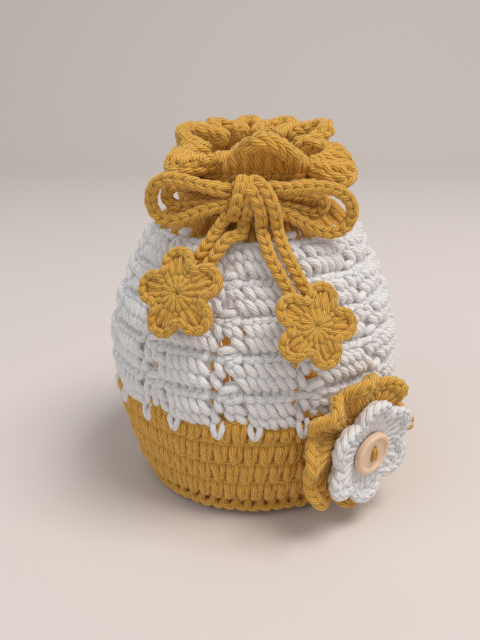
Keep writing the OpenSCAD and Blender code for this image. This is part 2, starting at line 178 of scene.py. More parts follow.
class Shader(Nodes):
    """A material's nodes, whose outputs can stand in expressions."""

    MIX_FACTOR, MIX_LOW, MIX_HIGH, MIX_RESULT = 0, 6, 7, 2

    def __init__(self, name: str) -> None:
        """Start a Principled material.

        Args:
            name: of the material.
        """
        self.material = bpy.data.materials.new(name)
        self.material.use_nodes = True
        super().__init__(self.material.node_tree)

    def wire(self, kind: str, output: str | int, values: dict, **settings: object) -> Wire:
        """One output of a new node, ready for an expression."""
        return Wire(self, self.node(kind, values, **settings)[output])

    def attribute(self, name: str) -> Wire:
        """A number stored on the mesh."""
        return self.wire("ShaderNodeAttribute", "Fac", {}, attribute_name=name)

    def noise(self, scale: float, detail: float, stretch: Point = (1.0, 1.0, 1.0)) -> Wire:
        """Noise over the object's own coordinates.

        Args:
            scale: features per metre.
            detail: octaves.
            stretch: scale of each coordinate.

        Returns:
            A value about 0.5.
        """
        place = self.wire("ShaderNodeTexCoord", "Object", {})
        place = self.wire("ShaderNodeMapping", "Vector", {"Vector": place, "Scale": stretch})
        return self.wire("ShaderNodeTexNoise", "Fac", {"Vector": place, "Scale": scale, "Detail": detail})

    def blend(self, factor: Wire, low: Wire | Colour, high: Wire | Colour, mode: str = "MIX") -> Wire:
        """Mix two colours.

        Args:
            factor: 0 gives low, 1 gives high.
            low: first colour.
            high: second colour.
            mode: the Mix node's blend mode.

        Returns:
            The mixed colour.
        """
        low, high = (c if isinstance(c, Wire) else (*c, 1.0) for c in (low, high))
        values = {self.MIX_FACTOR: factor, self.MIX_LOW: low, self.MIX_HIGH: high}
        return self.wire("ShaderNodeMix", self.MIX_RESULT, values, data_type="RGBA", blend_type=mode)

    def bump(self, height: Wire, strength: float, distance: float) -> Wire:
        """A normal from a height, with the distance in millimetres."""
        values = {"Height": height, "Strength": strength, "Distance": distance * MM}
        return self.wire("ShaderNodeBump", "Normal", values)

    def dress(self, **values: Wire | float | Sequence[float]) -> bpy.types.Material:
        """Set the Principled shader's sockets.

        Args:
            values: by the socket's name, with underscores for spaces.

        Returns:
            The material.
        """
        principled = self.tree.nodes["Principled BSDF"]
        for key, value in values.items():
            self.feed(principled.inputs[key.replace("_", " ")], value)
        return self.material


@dataclass(frozen=True)
class YarnFinish:
    """Soft plied cotton yarn.

    The plies wind round the strand: they are read from the strand's own length and turn, which the
    yarn tree stores on the mesh.
    """

    name: str
    ridge: Colour
    # painted shade: darker colour for the grooves between plies, where shade falls
    painted_groove_shade: Colour
    shade: Colour
    plies: int = 8
    ply_pitch: float = 2.2
    ply_depth: float = 0.3
    ply_bump: float = 0.75
    ridge_round: float = 0.6
    drift: float = 1.4
    drift_scale: float = 900.0
    patch: float = 0.5
    patch_scale: float = 70.0
    sheen: float = 0.8
    sheen_tint: Colour = (1.0, 1.0, 1.0)
    sheen_roughness: float = 0.45
    gloss: float = 0.3
    glow: float = 0.3
    glow_depth: float = 1.5
    glow_colour: Colour = (1.0, 0.95, 0.9)
    # painted light: emission strength, which lifts the dark gaps between strands though the yarn is no lamp
    painted_light: float = 0.0
    roughness: float = 0.72
    ridge_roughness: float = 0.12

    def material(self) -> bpy.types.Material:
        """Material of the yarn.

        Returns:
            The material, with its plies wound.
        """
        shader = Shader(self.name)
        turn = shader.attribute("yarn_sine").angle_from(shader.attribute("yarn_cosine"))
        length = shader.attribute("yarn_along")
        wind = turn * self.plies + length * (2 * math.pi / (self.ply_pitch * MM))
        ply = (wind + shader.noise(self.drift_scale, 2.0) * self.drift).sine() * 0.5 + 0.5
        height = ply ** self.ridge_round
        # Painted shade: the grooves between plies take the darker groove colour, standing in for the shade
        # that falls in them.
        plies_with_painted_shade = shader.blend(height, self.painted_groove_shade, self.ridge)
        patch = shader.noise(self.patch_scale, 3.0) * self.patch
        colour = shader.blend(patch, plies_with_painted_shade, self.shade, "MULTIPLY")
        return shader.dress(
            Base_Color=colour,
            Roughness=self.roughness + height * self.ridge_roughness,
            Normal=shader.bump(height, self.ply_bump, self.ply_depth),
            Sheen_Weight=self.sheen,
            Sheen_Roughness=self.sheen_roughness,
            Sheen_Tint=(*self.sheen_tint, 1.0),
            Specular_IOR_Level=self.gloss,
            Subsurface_Weight=self.glow,
            Subsurface_Radius=self.glow_colour,
            Subsurface_Scale=self.glow_depth * MM,
            # Painted light: the yarn glows in its own colour at this strength.
            Emission_Color=colour,
            Emission_Strength=self.painted_light,
        )


@dataclass(frozen=True)
class WoodFinish:
    """Pale turned wood with a fine grain across the button."""

    name: str
    light: Colour
    dark: Colour
    grain: float = 520.0
    stretch: Point = (1.0, 1.0, 0.12)
    grain_bump: float = 0.3
    grain_depth: float = 0.05
    roughness: float = 0.42
    grain_roughness: float = 0.2
    polish: float = 0.15

    def material(self) -> bpy.types.Material:
        """Material of the button.

        Returns:
            The material, with its grain.
        """
        shader = Shader(self.name)
        lines = shader.noise(self.grain, 4.0, self.stretch)
        return shader.dress(
            Base_Color=shader.blend(lines, self.dark, self.light),
            Roughness=self.roughness + lines * self.grain_roughness,
            Normal=shader.bump(lines, self.grain_bump, self.grain_depth),
            Coat_Weight=self.polish,
        )


@dataclass(frozen=True)
class FloorFinish:
    """Plain pale floor."""

    name: str
    colour: Colour
    roughness: float = 0.9

    def material(self) -> bpy.types.Material:
        """Material of the floor."""
        return Shader(self.name).dress(Base_Color=(*self.colour, 1.0), Roughness=self.roughness)


def unit(vectors: np.ndarray) -> np.ndarray:
    """Vectors scaled to length one."""
    return vectors / np.maximum(np.linalg.norm(vectors, axis=-1, keepdims=True), 1e-9)


def around(r: np.ndarray | float, a: np.ndarray | float, z: np.ndarray | float) -> np.ndarray:
    """Places at radii, azimuths in radians and heights."""
    return np.stack(np.broadcast_arrays(r * np.sin(a), -r * np.cos(a), z), -1)


def rays(a: np.ndarray) -> np.ndarray:
    """Flat directions at angles in radians."""
    return np.stack([np.cos(a), np.sin(a)], 1)


def sides(a: np.ndarray) -> np.ndarray:
    """Flat directions a quarter turn clockwise from those angles."""
    return np.stack([np.sin(a), -np.cos(a)], 1)


def lengths(path: np.ndarray) -> np.ndarray:
    """Length of a path up to each of its points."""
    return np.concatenate([[0], np.cumsum(np.linalg.norm(np.diff(path, axis=0), axis=1))])


def along(marks: np.ndarray, reach: np.ndarray, rows: np.ndarray) -> np.ndarray:
    """Rows read off at marks along a path, given the length that each row is at."""
    return np.stack([np.interp(marks, reach, column) for column in rows.T], 1)


def smooth(points: np.ndarray, steps: int, closed: bool) -> np.ndarray:
    """Round a path through its points.

    Args:
        points: path, one row per point.
        steps: points that replace each stretch.
        closed: whether the last point joins the first.

    Returns:
        The rounded path.
    """
    if closed:
        before, start, end, after = (np.roll(points, k, 0) for k in (1, 0, -1, -2))
    else:
        padded = np.vstack([2 * points[0] - points[1], points, 2 * points[-1] - points[-2]])
        before, start, end, after = padded[:-3], padded[1:-2], padded[2:-1], padded[3:]
    before, start, end, after = (p[:, None, :] for p in (before, start, end, after))
    t = (np.arange(steps) / steps)[None, :, None]
    curve = 0.5 * (
        2 * start
        + (end - before) * t
        + (2 * before - 5 * start + 4 * end - after) * t**2
        + (3 * start - before - 3 * end + after) * t**3
    )
    path = curve.reshape(-1, points.shape[1])
    return path if closed else np.vstack([path, points[-1:]])


def resample(points: np.ndarray, count: int, closed: bool = False) -> np.ndarray:
    """Points evenly spaced along a path.

    Args:
        points: path.
        count: stretches wanted.
        closed: whether the path is a ring.

    Returns:
        count + 1 points, or count points of a ring.
    """
    path = np.vstack([points, points[:1]]) if closed else points
    reach = lengths(path)
    even = along(np.linspace(0, reach[-1], count + 1), reach, path)
    return even[:-1] if closed else even


def add_object(name: str, data: bpy.types.ID) -> bpy.types.Object:
    """Put a new object in the scene.

    Args:
        name: of the object.
        data: its mesh, light or camera.

    Returns:
        The object.
    """
    thing = bpy.data.objects.new(name, data)
    bpy.context.scene.collection.objects.link(thing)
    return thing


@dataclass
class Strand:
    """A stretch of yarn: points in millimetres along its middle."""

    points: np.ndarray
    closed: bool = False

    @classmethod
    def rounded(cls, points: np.ndarray, steps: int = 2, closed: bool = False) -> "Strand":
        """Strand rounded through points, with so many steps for each stretch."""
        return cls(smooth(points, steps, closed), closed)


class YarnTree(Nodes):
    """Geometry Nodes tree that turns drawn strands into round yarn."""

    SIDES = 7
    STORE = {"data_type": "FLOAT", "domain": "POINT"}
    INPUTS = {
        "Strands": "NodeSocketGeometry",
        "Yarn Radius": "NodeSocketFloat",
        "Sides": "NodeSocketInt",
        "Finish": "NodeSocketMaterial",
    }

    def __init__(self, name: str = "yarn_tube") -> None:
        """Build the tree once.

        Args:
            name: of the tree.
        """
        super().__init__(bpy.data.node_groups.new(name, "GeometryNodeTree"))
        self.sockets = {label: self._socket(label, "INPUT", kind) for label, kind in self.INPUTS.items()}
        self._socket("Yarn", "OUTPUT", "NodeSocketGeometry")
        self._wire()

    def _socket(self, label: str, side: str, kind: str) -> str:
        """Add a socket to the tree's interface and give its identifier."""
        return self.tree.interface.new_socket(label, in_out=side, socket_type=kind).identifier

    def _store(
        self, geometry: bpy.types.NodeSocket, name: str, value: bpy.types.NodeSocket
    ) -> bpy.types.NodeSocket:
        """Curve with a number stored on each of its points."""
        values = {"Geometry": geometry, "Name": name, "Value": value}
        return self.node("GeometryNodeStoreNamedAttribute", values, **self.STORE)["Geometry"]

    def _wire(self) -> None:
        """Draw the tube: strand, round profile, stored length and turn, finish."""
        given = self.node("NodeGroupInput", {})
        curve = self.node("GeometryNodeMeshToCurve", {"Mesh": given["Strands"]})["Curve"]
        curve = self._store(curve, "yarn_along", self.node("GeometryNodeSplineParameter", {})["Length"])
        circle = {"Resolution": given["Sides"], "Radius": 1.0}
        profile = self.node("GeometryNodeCurvePrimitiveCircle", circle)["Curve"]
        place = self.node("GeometryNodeInputPosition", {})["Position"]
        turn = self.node("ShaderNodeSeparateXYZ", {"Vector": place})
        profile = self._store(profile, "yarn_cosine", turn["X"])
        profile = self._store(profile, "yarn_sine", turn["Y"])
        sweep = {"Curve": curve, "Profile Curve": profile, "Scale": given["Yarn Radius"], "Fill Caps": True}
        tube = self.node("GeometryNodeCurveToMesh", sweep)["Mesh"]
        soft = self.node("GeometryNodeSetShadeSmooth", {"Geometry": tube})["Geometry"]
        real = self.node("GeometryNodeRealizeInstances", {"Geometry": soft})["Geometry"]
        dress = {"Geometry": real, "Material": given["Finish"]}
        self.node("NodeGroupOutput", {"Yarn": self.node("GeometryNodeSetMaterial", dress)["Geometry"]})

    def spin(
        self, name: str, strands: list[Strand], finish: bpy.types.Material, diameter: float
    ) -> bpy.types.Object:
        """Turn strands into one plain mesh of yarn.

        Args:
            name: name of the piece.
            strands: drawn strands, in millimetres.
            finish: the yarn's material.
            diameter: of the yarn, in millimetres.

        Returns:
            The finished object at the origin.
        """
        drawn = bpy.data.meshes.new(name + "_strands")
        points = np.vstack([s.points for s in strands]) * MM
        edges = []
        first = 0
        for strand in strands:
            run = np.arange(first, first + len(strand.points))
            ends = np.roll(run, -1) if strand.closed else run[1:]
            edges.append(np.stack([run[: len(ends)], ends], 1))
            first += len(run)
        drawn.from_pydata(points.tolist(), np.vstack(edges).tolist(), [])
        source = add_object(name + "_strands", drawn)
        modifier = source.modifiers.new("yarn", "NODES")
        modifier.node_group = self.tree
        modifier[self.sockets["Yarn Radius"]] = diameter / 2 * MM
        modifier[self.sockets["Sides"]] = self.SIDES
        modifier[self.sockets["Finish"]] = finish
        depsgraph = bpy.context.evaluated_depsgraph_get()
        mesh = bpy.data.meshes.new_from_object(source.evaluated_get(depsgraph))
        source.modifiers.remove(modifier)
        bpy.data.objects.remove(source)
        bpy.data.meshes.remove(drawn)
        mesh.name = name
        return add_object(name, mesh)


@dataclass(frozen=True)
class Stitch:
    """Path of the yarn through one post, in shares of its width and height and of the yarn's diameter.

    The yarn crosses the head, goes down one leg, dips under the row below and climbs the other leg.
    """

    legs: float = 0.26
    leg_out: float = 0.30
    leg_step: float = 0.14
    head_low: float = 0.87
    head_high: float = 1.02
    head_out: float = 0.45
    levels: tuple[float, ...] = (0.72, 0.55, 0.38, 0.20)
    foot: tuple[Point, ...] = ((-0.10, 0.05, -0.10), (0.0, -0.05, -0.50), (0.10, 0.05, -0.10))

    def head(self) -> list[Point]:
        """Yarn over the head.

        Returns:
            Rows of across, up and outwards, to the back of the head.
        """
        low, high, out = self.head_low, self.head_high, self.head_out
        return [
            (-0.50, low, out - 0.10),
            (-0.05, low - 0.02, out),
            (0.40, low, out - 0.05),
            (0.53, (low + high) / 2, out - 0.5),
            (0.15, high, out - 0.85),
        ]

    def path(self) -> np.ndarray:
        """Yarn through the whole post.

        Returns:
            Rows of across, up and outwards.
        """
        back = (-0.26, self.head_high - 0.04, self.head_out - 0.85)
        tie = np.array([self.legs, self.head_low - 0.02, self.head_out - 0.95])
        down = np.array([(-self.legs, level, self.leg_step) for level in self.levels])
        legs = np.vstack([down, self.foot, down[::-1] * [-1, 1, -1]]) + [0, 0, self.leg_out]
        return np.vstack([self.head(), back, tie * [-1, 1, 1], legs, tie])


@dataclass(frozen=True)
class WrappedStitch(Stitch):
    """Tall post whose yarn crosses its front twice on the way down, and climbs behind it."""

    wraps: tuple[tuple[float, float], ...] = ((0.70, 0.36), (0.36, 0.02))
    reach: float = 0.52

    def path(self) -> np.ndarray:
        """Yarn through the whole post.

        Returns:
            Rows of across, up and outwards.
        """
        rows = self.head() + [(-0.30, self.head_high - 0.06, self.head_out - 0.85)]
        for start, end in self.wraps:
            drop = start - end
            rows += [
                (-0.35, start, -0.45),
                (-self.reach, start - 0.06 * drop, 0.10),
                (-0.15, start - 0.36 * drop, self.leg_out),
                (0.18, start - 0.66 * drop, self.leg_out),
                (self.reach, start - 0.96 * drop, 0.05),
                (0.30, end, -0.50),
            ]
        behind = [(0.05, 0.06, -0.75), (0.0, 0.3, -0.8), (0.1, 0.6, -0.8)]
        return np.array(rows + behind + [(0.35, self.head_low - 0.04, -0.6)])


@dataclass
class Posts:
    """A run of posts on a flat chart: where each one's foot and head are, and how wide."""

    foot: np.ndarray
    head: np.ndarray
    foot_across: np.ndarray
    head_across: np.ndarray

    def work(self, stitch: Stitch, yarn: float) -> np.ndarray:
        """Yarn path through all the posts, as chart places and distances off the chart.

        Args:
            stitch: the stitch to work.
            yarn: diameter of the yarn.

        Returns:
            Rows of chart x, chart y and distance outwards.
        """
        path = stitch.path()
        v = path[None, :, 1:2]
        held = np.clip(v, 0, 1)
        across = self.foot_across[:, None] * (1 - held) + self.head_across[:, None] * held
        flat = self.foot[:, None] * (1 - v) + self.head[:, None] * v + path[None, :, :1] * across
        out = np.broadcast_to(path[None, :, 2:] * yarn, (*flat.shape[:2], 1))
        return np.concatenate([flat, out], 2).reshape(-1, 3)


def ring_posts(
    azimuths: np.ndarray, low: np.ndarray | float, high: np.ndarray | float, width: np.ndarray | float,
    slant: float = 0.0,
) -> Posts:
    """Posts side by side round a wall of revolution, each narrower at its foot.

    Args:
        azimuths: azimuth of each head.
        low: length up the wall of the feet.
        high: length up the wall of the heads.
        width: width of the posts, in degrees.
        slant: how far each foot is ahead of its head, in degrees.

    Returns:
        The posts on the wall's chart.
    """
    low, high, width = (np.broadcast_to(value, azimuths.shape) for value in (low, high, width))
    across = np.stack([width, np.zeros_like(azimuths)], 1)
    foot = np.stack([azimuths + slant, low], 1)
    return Posts(foot, np.stack([azimuths, high], 1), across * FOOT_SHARE, across)


@dataclass(frozen=True)
class ChainStitch:
    """Chain of loops along a path, each drawn through the last.

    A loop's rows are its place along the chain, in loops, and then aside and outwards, in yarns.
    """

    pitch: float = 3.1
    spread: float = 1.0
    fineness: int = 4
    loop: tuple[Point, ...] = (
        (0.05, -0.12, -0.40), (0.45, -0.50, -0.05), (0.95, -0.47, 0.26), (1.35, -0.22, 0.40),
        (1.50, 0.00, 0.22),
        (1.35, 0.22, 0.40), (0.95, 0.47, 0.26), (0.45, 0.50, -0.05), (0.05, 0.12, -0.40),
        (0.50, 0.00, -0.58),
    )

    def work(self, route: np.ndarray, front: np.ndarray, yarn: float, closed: bool = False) -> Strand:
        """Work a chain along a route.

        Args:
            route: close points along the middle of the chain.
            front: direction that the chain's face looks in, one for all points or one each.
            yarn: diameter of the yarn.
            closed: whether the chain is a ring.

        Returns:
            The chain's yarn.
        """
        count = len(route) * self.fineness
        line = resample(route, count, closed)
        line = np.vstack([line, line[:1]]) if closed else line
        look = resample(front, count) if front.ndim > 1 else np.broadcast_to(front, line.shape)
        heading = unit(np.gradient(line, axis=0))
        if closed:
            heading[0] = heading[-1] = unit(line[1] - line[-2])
            look = np.vstack([look[:-1], look[:1]])
        side = unit(np.cross(heading, look))
        reach = lengths(line)
        loops = max(3, round(reach[-1] / self.pitch))
        loop = np.array(self.loop)
        marks = (np.arange(loops)[:, None] + loop[None, :, 0]).reshape(-1) * reach[-1] / loops
        marks = marks % reach[-1] if closed else np.clip(marks, 0, reach[-1])
        at, aside, out = (along(marks, reach, rows) for rows in (line, side, np.cross(side, heading)))
        shifts = np.tile(loop[:, 1:] * [self.spread, 1.0], (loops, 1)) * yarn
        return Strand.rounded(at + aside * shifts[:, :1] + out * shifts[:, 1:], closed=closed)


@dataclass(frozen=True)
class BagProfile:
    """Outline of the bag, as its solids have it."""

    wall: float = 4.0
    foot_r: float = 41.0
    base_r: float = 43.5
    foot_round: float = 5.0
    belly_r: float = 54.0
    belly_z: float = 52.0
    shoulder_r: float = 37.5
    shoulder_z: float = 96.0
    neck_r: float = 23.5
    gather_h: float = 9.0
    gathers: int = 11
    bow_x: float = -3.0
    base_curve: float = 1.4
    shoulder_curve: float = 1.7

    @property
    def neck_z(self) -> float:
        """Height of the bottom of the eyelets."""
        return self.shoulder_z + self.gather_h

    @property
    def collar_r(self) -> float:
        """Outer radius of the neck."""
        return self.neck_r + self.wall / 2

    @property
    def gather_turn(self) -> float:
        """Azimuth of the bow, which the gathers are counted from."""
        return math.degrees(math.asin(self.bow_x / self.neck_r))

    def radius(self, z: np.ndarray | float) -> np.ndarray:
        """Outer radius of the bag.

        Args:
            z: height or heights.

        Returns:
            The radius at each height.
        """
        z = np.asarray(z, float)
        low = np.clip((self.belly_z - z) / self.belly_z, 0, None)
        high = np.clip((z - self.belly_z) / (self.shoulder_z - self.belly_z), 0, 1)
        body = np.where(
            z < self.belly_z,
            self.belly_r - (self.belly_r - self.base_r) * low**self.base_curve,
            self.belly_r - (self.belly_r - self.shoulder_r) * high**self.shoulder_curve,
        )
        slope = self.shoulder_r + (self.collar_r - self.shoulder_r) * (z - self.shoulder_z) / self.gather_h
        return np.where(z < self.shoulder_z, body, slope)

    def tilt(self, z: float) -> float:
        """Upward tilt of the outward normal at a height, in radians."""
        return math.atan2(float(self.radius(z - 0.5) - self.radius(z + 0.5)), 1.0)

    def outwards(self, azimuth: float, z: float) -> np.ndarray:
        """Outward normal at an azimuth and height."""
        tilt = self.tilt(z)
        return around(math.cos(tilt), math.radians(azimuth), math.sin(tilt))

    def off_skin(self, azimuth: float, z: float, lift: float) -> np.ndarray:
        """Point at an azimuth and height, lifted along the normal."""
        return around(float(self.radius(z)), math.radians(azimuth), z) + lift * self.outwards(azimuth, z)


class TurnedWall:
    """Chart of a wall of revolution: x is the azimuth, y the length up the wall."""

    def __init__(self, outline: np.ndarray, inset: float) -> None:
        """Move an outline inwards and measure it.

        Args:
            outline: rows of radius and height, upwards.
            inset: how far inwards the chart lies.
        """
        heading = unit(np.gradient(outline, axis=0))
        self.normal = np.stack([heading[:, 1], -heading[:, 0]], 1)
        self.line = outline - self.normal * inset
        self.reach = lengths(self.line)

    def at_height(self, z: float) -> float:
        """Length up the wall at a height."""
        return float(np.interp(z, self.line[:, 1], self.reach))

    def __call__(self, chart: np.ndarray) -> np.ndarray:
        """Places on the wall.

        Args:
            chart: rows of azimuth, length up the wall and distance outwards.

        Returns:
            The places in space.
        """
        skin, normal = (along(chart[:, 1], self.reach, rows) for rows in (self.line, self.normal))
        r, z = (skin + chart[:, 2:] * normal).T
        return around(r, np.radians(chart[:, 0]), z)


@dataclass
class Workshop:
    """Yarn, finishes and tree shared by every sub-assembly."""

    tree: YarnTree
    finishes: dict[Slot, bpy.types.Material]
    profile: BagProfile = field(default_factory=BagProfile)
    yarn: float = 2.1
    rng: np.random.Generator = field(default_factory=lambda: np.random.default_rng(SEED))

    def loosen(self, points: np.ndarray, amount: float) -> np.ndarray:
        """Points with a small uneven pull, as hand-worked yarn has."""
        return points + self.rng.normal(0, amount, points.shape)

    def make(
        self, name: str, node: str, strands: list[Strand], yarn: float, slot: Slot = Slot.MUSTARD,
        body: Body = Body.BAG, bend: Bend | None = None,
    ) -> bpy.types.Object:
        """Spin a piece, let it ride on its body unless a bend is given, when its transform is baked
        instead, fill its slot and hide its solid.

        Args:
            name: of the piece.
            node: the solid that the piece stands for.
            strands: its yarn.
            yarn: diameter of the yarn.
            slot: the record's material slot.
            body: the body that carries it.
            bend: where a piece that crosses a joint leaves the bag, and where it follows the body alone.

        Returns:
            The finished object.
        """
        piece = self.tree.spin(name, strands, self.finishes[slot], yarn)
        if bend is None:
            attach(piece, body.value)
        else:
            start, end = (tuple(point * MM) for point in bend)
            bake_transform(piece)
        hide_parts(node)
        LOG.info("%s: %d faces on %s", piece.name, len(piece.data.polygons), body.value)
        return piece


@dataclass
class BaseCup:
    """Mustard cup worked in rounds from the middle of the bottom."""

    shop: Workshop
    bottom_rounds: tuple[int, ...] = (12, 24, 36, 48)
    bottom_turn: float = 11.0
    eye_r: float = 0.9
    wall_stitches: int = 64
    wall_turn: float = 1.7
    wall_marks: tuple[float, ...] = (1.8, 9.2, 17.8, 26.4, 35.0, 40.0)
    peaks: int = 12
    peak_az: float = -6.5
    peak_h: float = 4.5
    slant: float = -0.2
    narrowing: float = 0.75
    pull: float = 0.14
    chart_steps: int = 60
    yarn: float = 2.7
    stitch: Stitch = Stitch(
        legs=0.28, leg_out=0.40, leg_step=0.10, head_low=0.90, head_high=1.0, head_out=0.10
    )

    def chart(self) -> TurnedWall:
        """Bottom, rounded corner and wall in one outline.

        Returns:
            The cup's chart.
        """
        p = self.shop.profile
        corner_w = float(p.radius(p.foot_round)) - p.foot_r
        turn = np.radians(np.arange(0, 90, 5))
        corner = np.stack([p.foot_r + corner_w * np.sin(turn), p.foot_round * (1 - np.cos(turn))], 1)
        heights = np.linspace(p.foot_round, p.belly_z, self.chart_steps)
        wall = np.stack([p.radius(heights), heights], 1)
        bottom = np.outer(np.linspace(0, p.foot_r, self.chart_steps)[:-1], [1.0, 0.0])
        return TurnedWall(np.vstack([bottom, corner, wall]), p.wall / 2)

    def round(
        self, chart: TurnedWall, count: int, marks: Sequence[float], turn: float, peak: float = 0.0
    ) -> Strand:
        """One round of posts.

        Args:
            chart: the cup's chart.
            count: stitches in the round.
            marks: lengths up the chart of the feet and of the heads.
            turn: azimuth of the first stitch.
            peak: how much higher the heads are below the open columns of the lace.

        Returns:
            The round's yarn.
        """
        pitch = 360 / count
        azimuths = turn + pitch * np.arange(count)
        rise = np.clip(np.cos(np.radians((azimuths - self.peak_az) * self.peaks)), 0, 1) ** 2
        posts = ring_posts(azimuths, marks[0], marks[1] + peak * rise, pitch, self.slant * pitch)
        posts.foot_across *= self.narrowing
        places = chart(posts.work(self.stitch, self.yarn))
        strand = Strand.rounded(self.shop.loosen(places, self.pull), closed=True)
        strand.points[:, 2] = np.maximum(strand.points[:, 2], self.yarn / 2)
        return strand

    def build(self) -> None:
        """Work the bottom and the wall as two pieces."""
        chart = self.chart()
        marks = np.linspace(self.eye_r, chart.at_height(self.wall_marks[0]), len(self.bottom_rounds) + 1)
        bottom = [
            self.round(chart, count, marks[i : i + 2], self.bottom_turn * i)
            for i, count in enumerate(self.bottom_rounds)
        ]
        marks = [chart.at_height(z) for z in self.wall_marks]
        peaks = [0.0] * (len(marks) - 2) + [self.peak_h]
        wall = [
            self.round(chart, self.wall_stitches, marks[i : i + 2], self.wall_turn * i, peak)
            for i, peak in enumerate(peaks)
        ]
        for name, strands in (("base_bottom", bottom), ("base_wall", wall)):
            self.shop.make(name, "base_cup", strands, self.yarn)


@dataclass
class LaceBody:
    """White lace: blocks of slanted posts between open columns of arches, one tier above the other.

    An arch's places across are shares of its column. Its hollow and the top of its short post, whose
    foot and head come first, are shares of the tier. A bridge's rows end with the distance outwards, in
    yarns. A picot's hook is rows of azimuth, share of its drop, and distance outwards.
    """

    shop: Workshop
    repeats: int = 12
    tier_marks: tuple[float, ...] = (40.0, 54.0, 65.9, 76.5, 86.5, 97.0)
    first_turn: float = 1.2
    tier_turn: float = -0.6
    block_posts: tuple[int, ...] = (5, 5, 5, 4, 4)
    block_share: float = 0.52
    block_bulge: float = 1.2
    bulge_share: float = 0.8
    block_swell: float = 0.6
    open_az: float = -10.0
    arm_heads: tuple[float, float] = (-0.09, 0.13)
    arm_feet: tuple[float, float] = (-0.37, 0.40)
    arm_width: float = 0.19
    leans: tuple[float, float] = (-0.04, 0.06)
    short_post: tuple[float, float, float] = (0.05, 0.06, 0.9)
    hollow: float = 0.42
    first_hollow: float = 0.1
    first_lift: float = 1.6
    bridge: tuple[Point, ...] = (
        (-0.18, 0.98, 0.45), (0.14, 1.03, 0.40), (0.20, 1.06, -0.35), (-0.16, 0.98, -0.40),
        (0.16, 0.96, 0.05),
    )
    picot_az: tuple[float, float] = (-2.8, 10.2)
    picot_drop: float = 2.9
    picot_least: float = 0.75
    picot_range: float = 0.3
    picot_yarn: float = 2.1
    hook: tuple[Point, ...] = (
        (1.6, 0.95, 1.2), (1.7, 0.35, 2.9), (0.85, -0.5, 3.3), (0.05, -0.85, 3.3),
        (-0.75, -0.5, 3.3), (-1.6, 0.35, 2.9), (-1.5, 0.95, 1.2),
    )
    inset: float = 3.0
    chart_z: tuple[float, float, int] = (34, 102, 120)
    shoulder_slope: float = 0.75
    slant: float = 0.6
    pull: float = 0.16
    yarn: float = 2.6
    stitch: Stitch = WrappedStitch(leg_out=0.5, head_low=0.78, head_high=0.98, head_out=0.35)

    @property
    def pitch(self) -> float:
        """Width of an open column and a block, in degrees."""
        return 360 / self.repeats

    def chart(self) -> TurnedWall:
        """Wall of the lace, with some to spare at both ends.

        Returns:
            The lace's chart.
        """
        p = self.shop.profile
        heights = np.linspace(*self.chart_z)
        over = np.clip(heights - p.shoulder_z, 0, None)
        radii = p.radius(np.minimum(heights, p.shoulder_z - 0.01)) - self.shoulder_slope * over
        return TurnedWall(np.stack([radii, heights], 1), self.inset)

    def arch(self, middle: float, low: float, high: float, tier: int) -> np.ndarray:
        """One arch: two leaning arms, a short post between them and a bridge over it.

        Args:
            middle: azimuth of the arch.
            low: length up the wall of the feet.
            high: length up the wall of the heads.
            tier: the tier, counted from the lowest, whose arches stand on the cup's edge.

        Returns:
            Yarn path on the wall's chart.
        """
        width = self.pitch * (1 - self.block_share)
        tall = high - low
        lean = self.leans[tier % 2]
        lift, hollow = (0.0, self.hollow) if tier else (self.first_lift, self.first_hollow)
        across = np.array([[width * self.arm_width, 0.0]] * 2)
        feet = middle + width * (np.array(self.arm_feet) + lean)
        heads = middle + width * np.array(self.arm_heads)
        foot_az, head_az, top = self.short_post
        foot = np.array([[middle + (foot_az + lean) * width, low + lift + hollow * tall]])
        head = np.array([[middle + head_az * width, low + top * tall]])
        feet, heads = np.stack([feet, np.full(2, low + lift)], 1), np.stack([heads, np.full(2, high)], 1)
        arms = Posts(feet, heads, across, across).work(self.stitch, self.yarn)
        short = Posts(foot, head, across[:1], across[:1]).work(self.stitch, self.yarn)
        bridge = np.array(self.bridge) * [width, tall, self.yarn] + [middle, low, 0.0]
        left, right = np.split(arms, 2)
        return np.vstack([left, short, bridge, right])

    def block(self, middle: float, low: float, high: float, tier: int) -> np.ndarray:
        """The block of posts after an arch, swollen in its middle.

        Args:
            middle: azimuth of the arch.
            low: length up the wall of the feet.
            high: length up the wall of the heads.
            tier: the tier, counted from the lowest.

        Returns:
            Yarn path on the wall's chart.
        """
        count = self.block_posts[tier]
        wide = self.pitch * self.block_share
        width = wide / count
        share = (np.arange(count) + 0.5) / count
        swell = np.sin(np.pi * share)
        azimuths = middle + (self.pitch - wide) / 2 + wide * share - self.slant / 2 * width
        posts = ring_posts(azimuths, low, high + self.block_swell * swell, width, self.slant * width)
        path = posts.work(self.stitch, self.yarn)
        pillow = np.sin(np.pi * np.clip(self.stitch.path()[:, 1] / self.bulge_share, 0, 1))
        path[:, 2] += np.outer(np.sqrt(swell), pillow).reshape(-1) * self.block_bulge
        return path

    def tier(self, chart: TurnedWall, index: int, low: float, high: float) -> Strand:
        """One tier all round.

        Args:
            chart: the lace's chart.
            index: the tier, counted from the lowest.
            low: length up the wall of the feet.
            high: length up the wall of the heads.

        Returns:
            The tier's yarn.
        """
        runs = []
        for k in range(self.repeats):
            middle = self.open_az + self.pitch * k + self.first_turn + self.tier_turn * index
            runs += [self.arch(middle, low, high, index), self.block(middle, low, high, index)]
        return Strand.rounded(self.shop.loosen(chart(np.vstack(runs)), self.pull), closed=True)

    def picots(self, chart: TurnedWall, low: float) -> list[Strand]:
        """Small loops that hang at the lower corners of each block.

        Args:
            chart: the lace's chart.
            low: length up the wall that they hang from.

        Returns:
            The loops' yarn.
        """
        loops = []
        for middle in self.open_az + self.pitch * np.arange(self.repeats):
            for shift in self.picot_az:
                drop = self.picot_drop * (self.picot_least + self.picot_range * self.shop.rng.random())
                flat = np.array(self.hook) * [1, drop, 1] + [middle + shift, low, 0]
                loops.append(Strand.rounded(chart(flat), 3))
        return loops

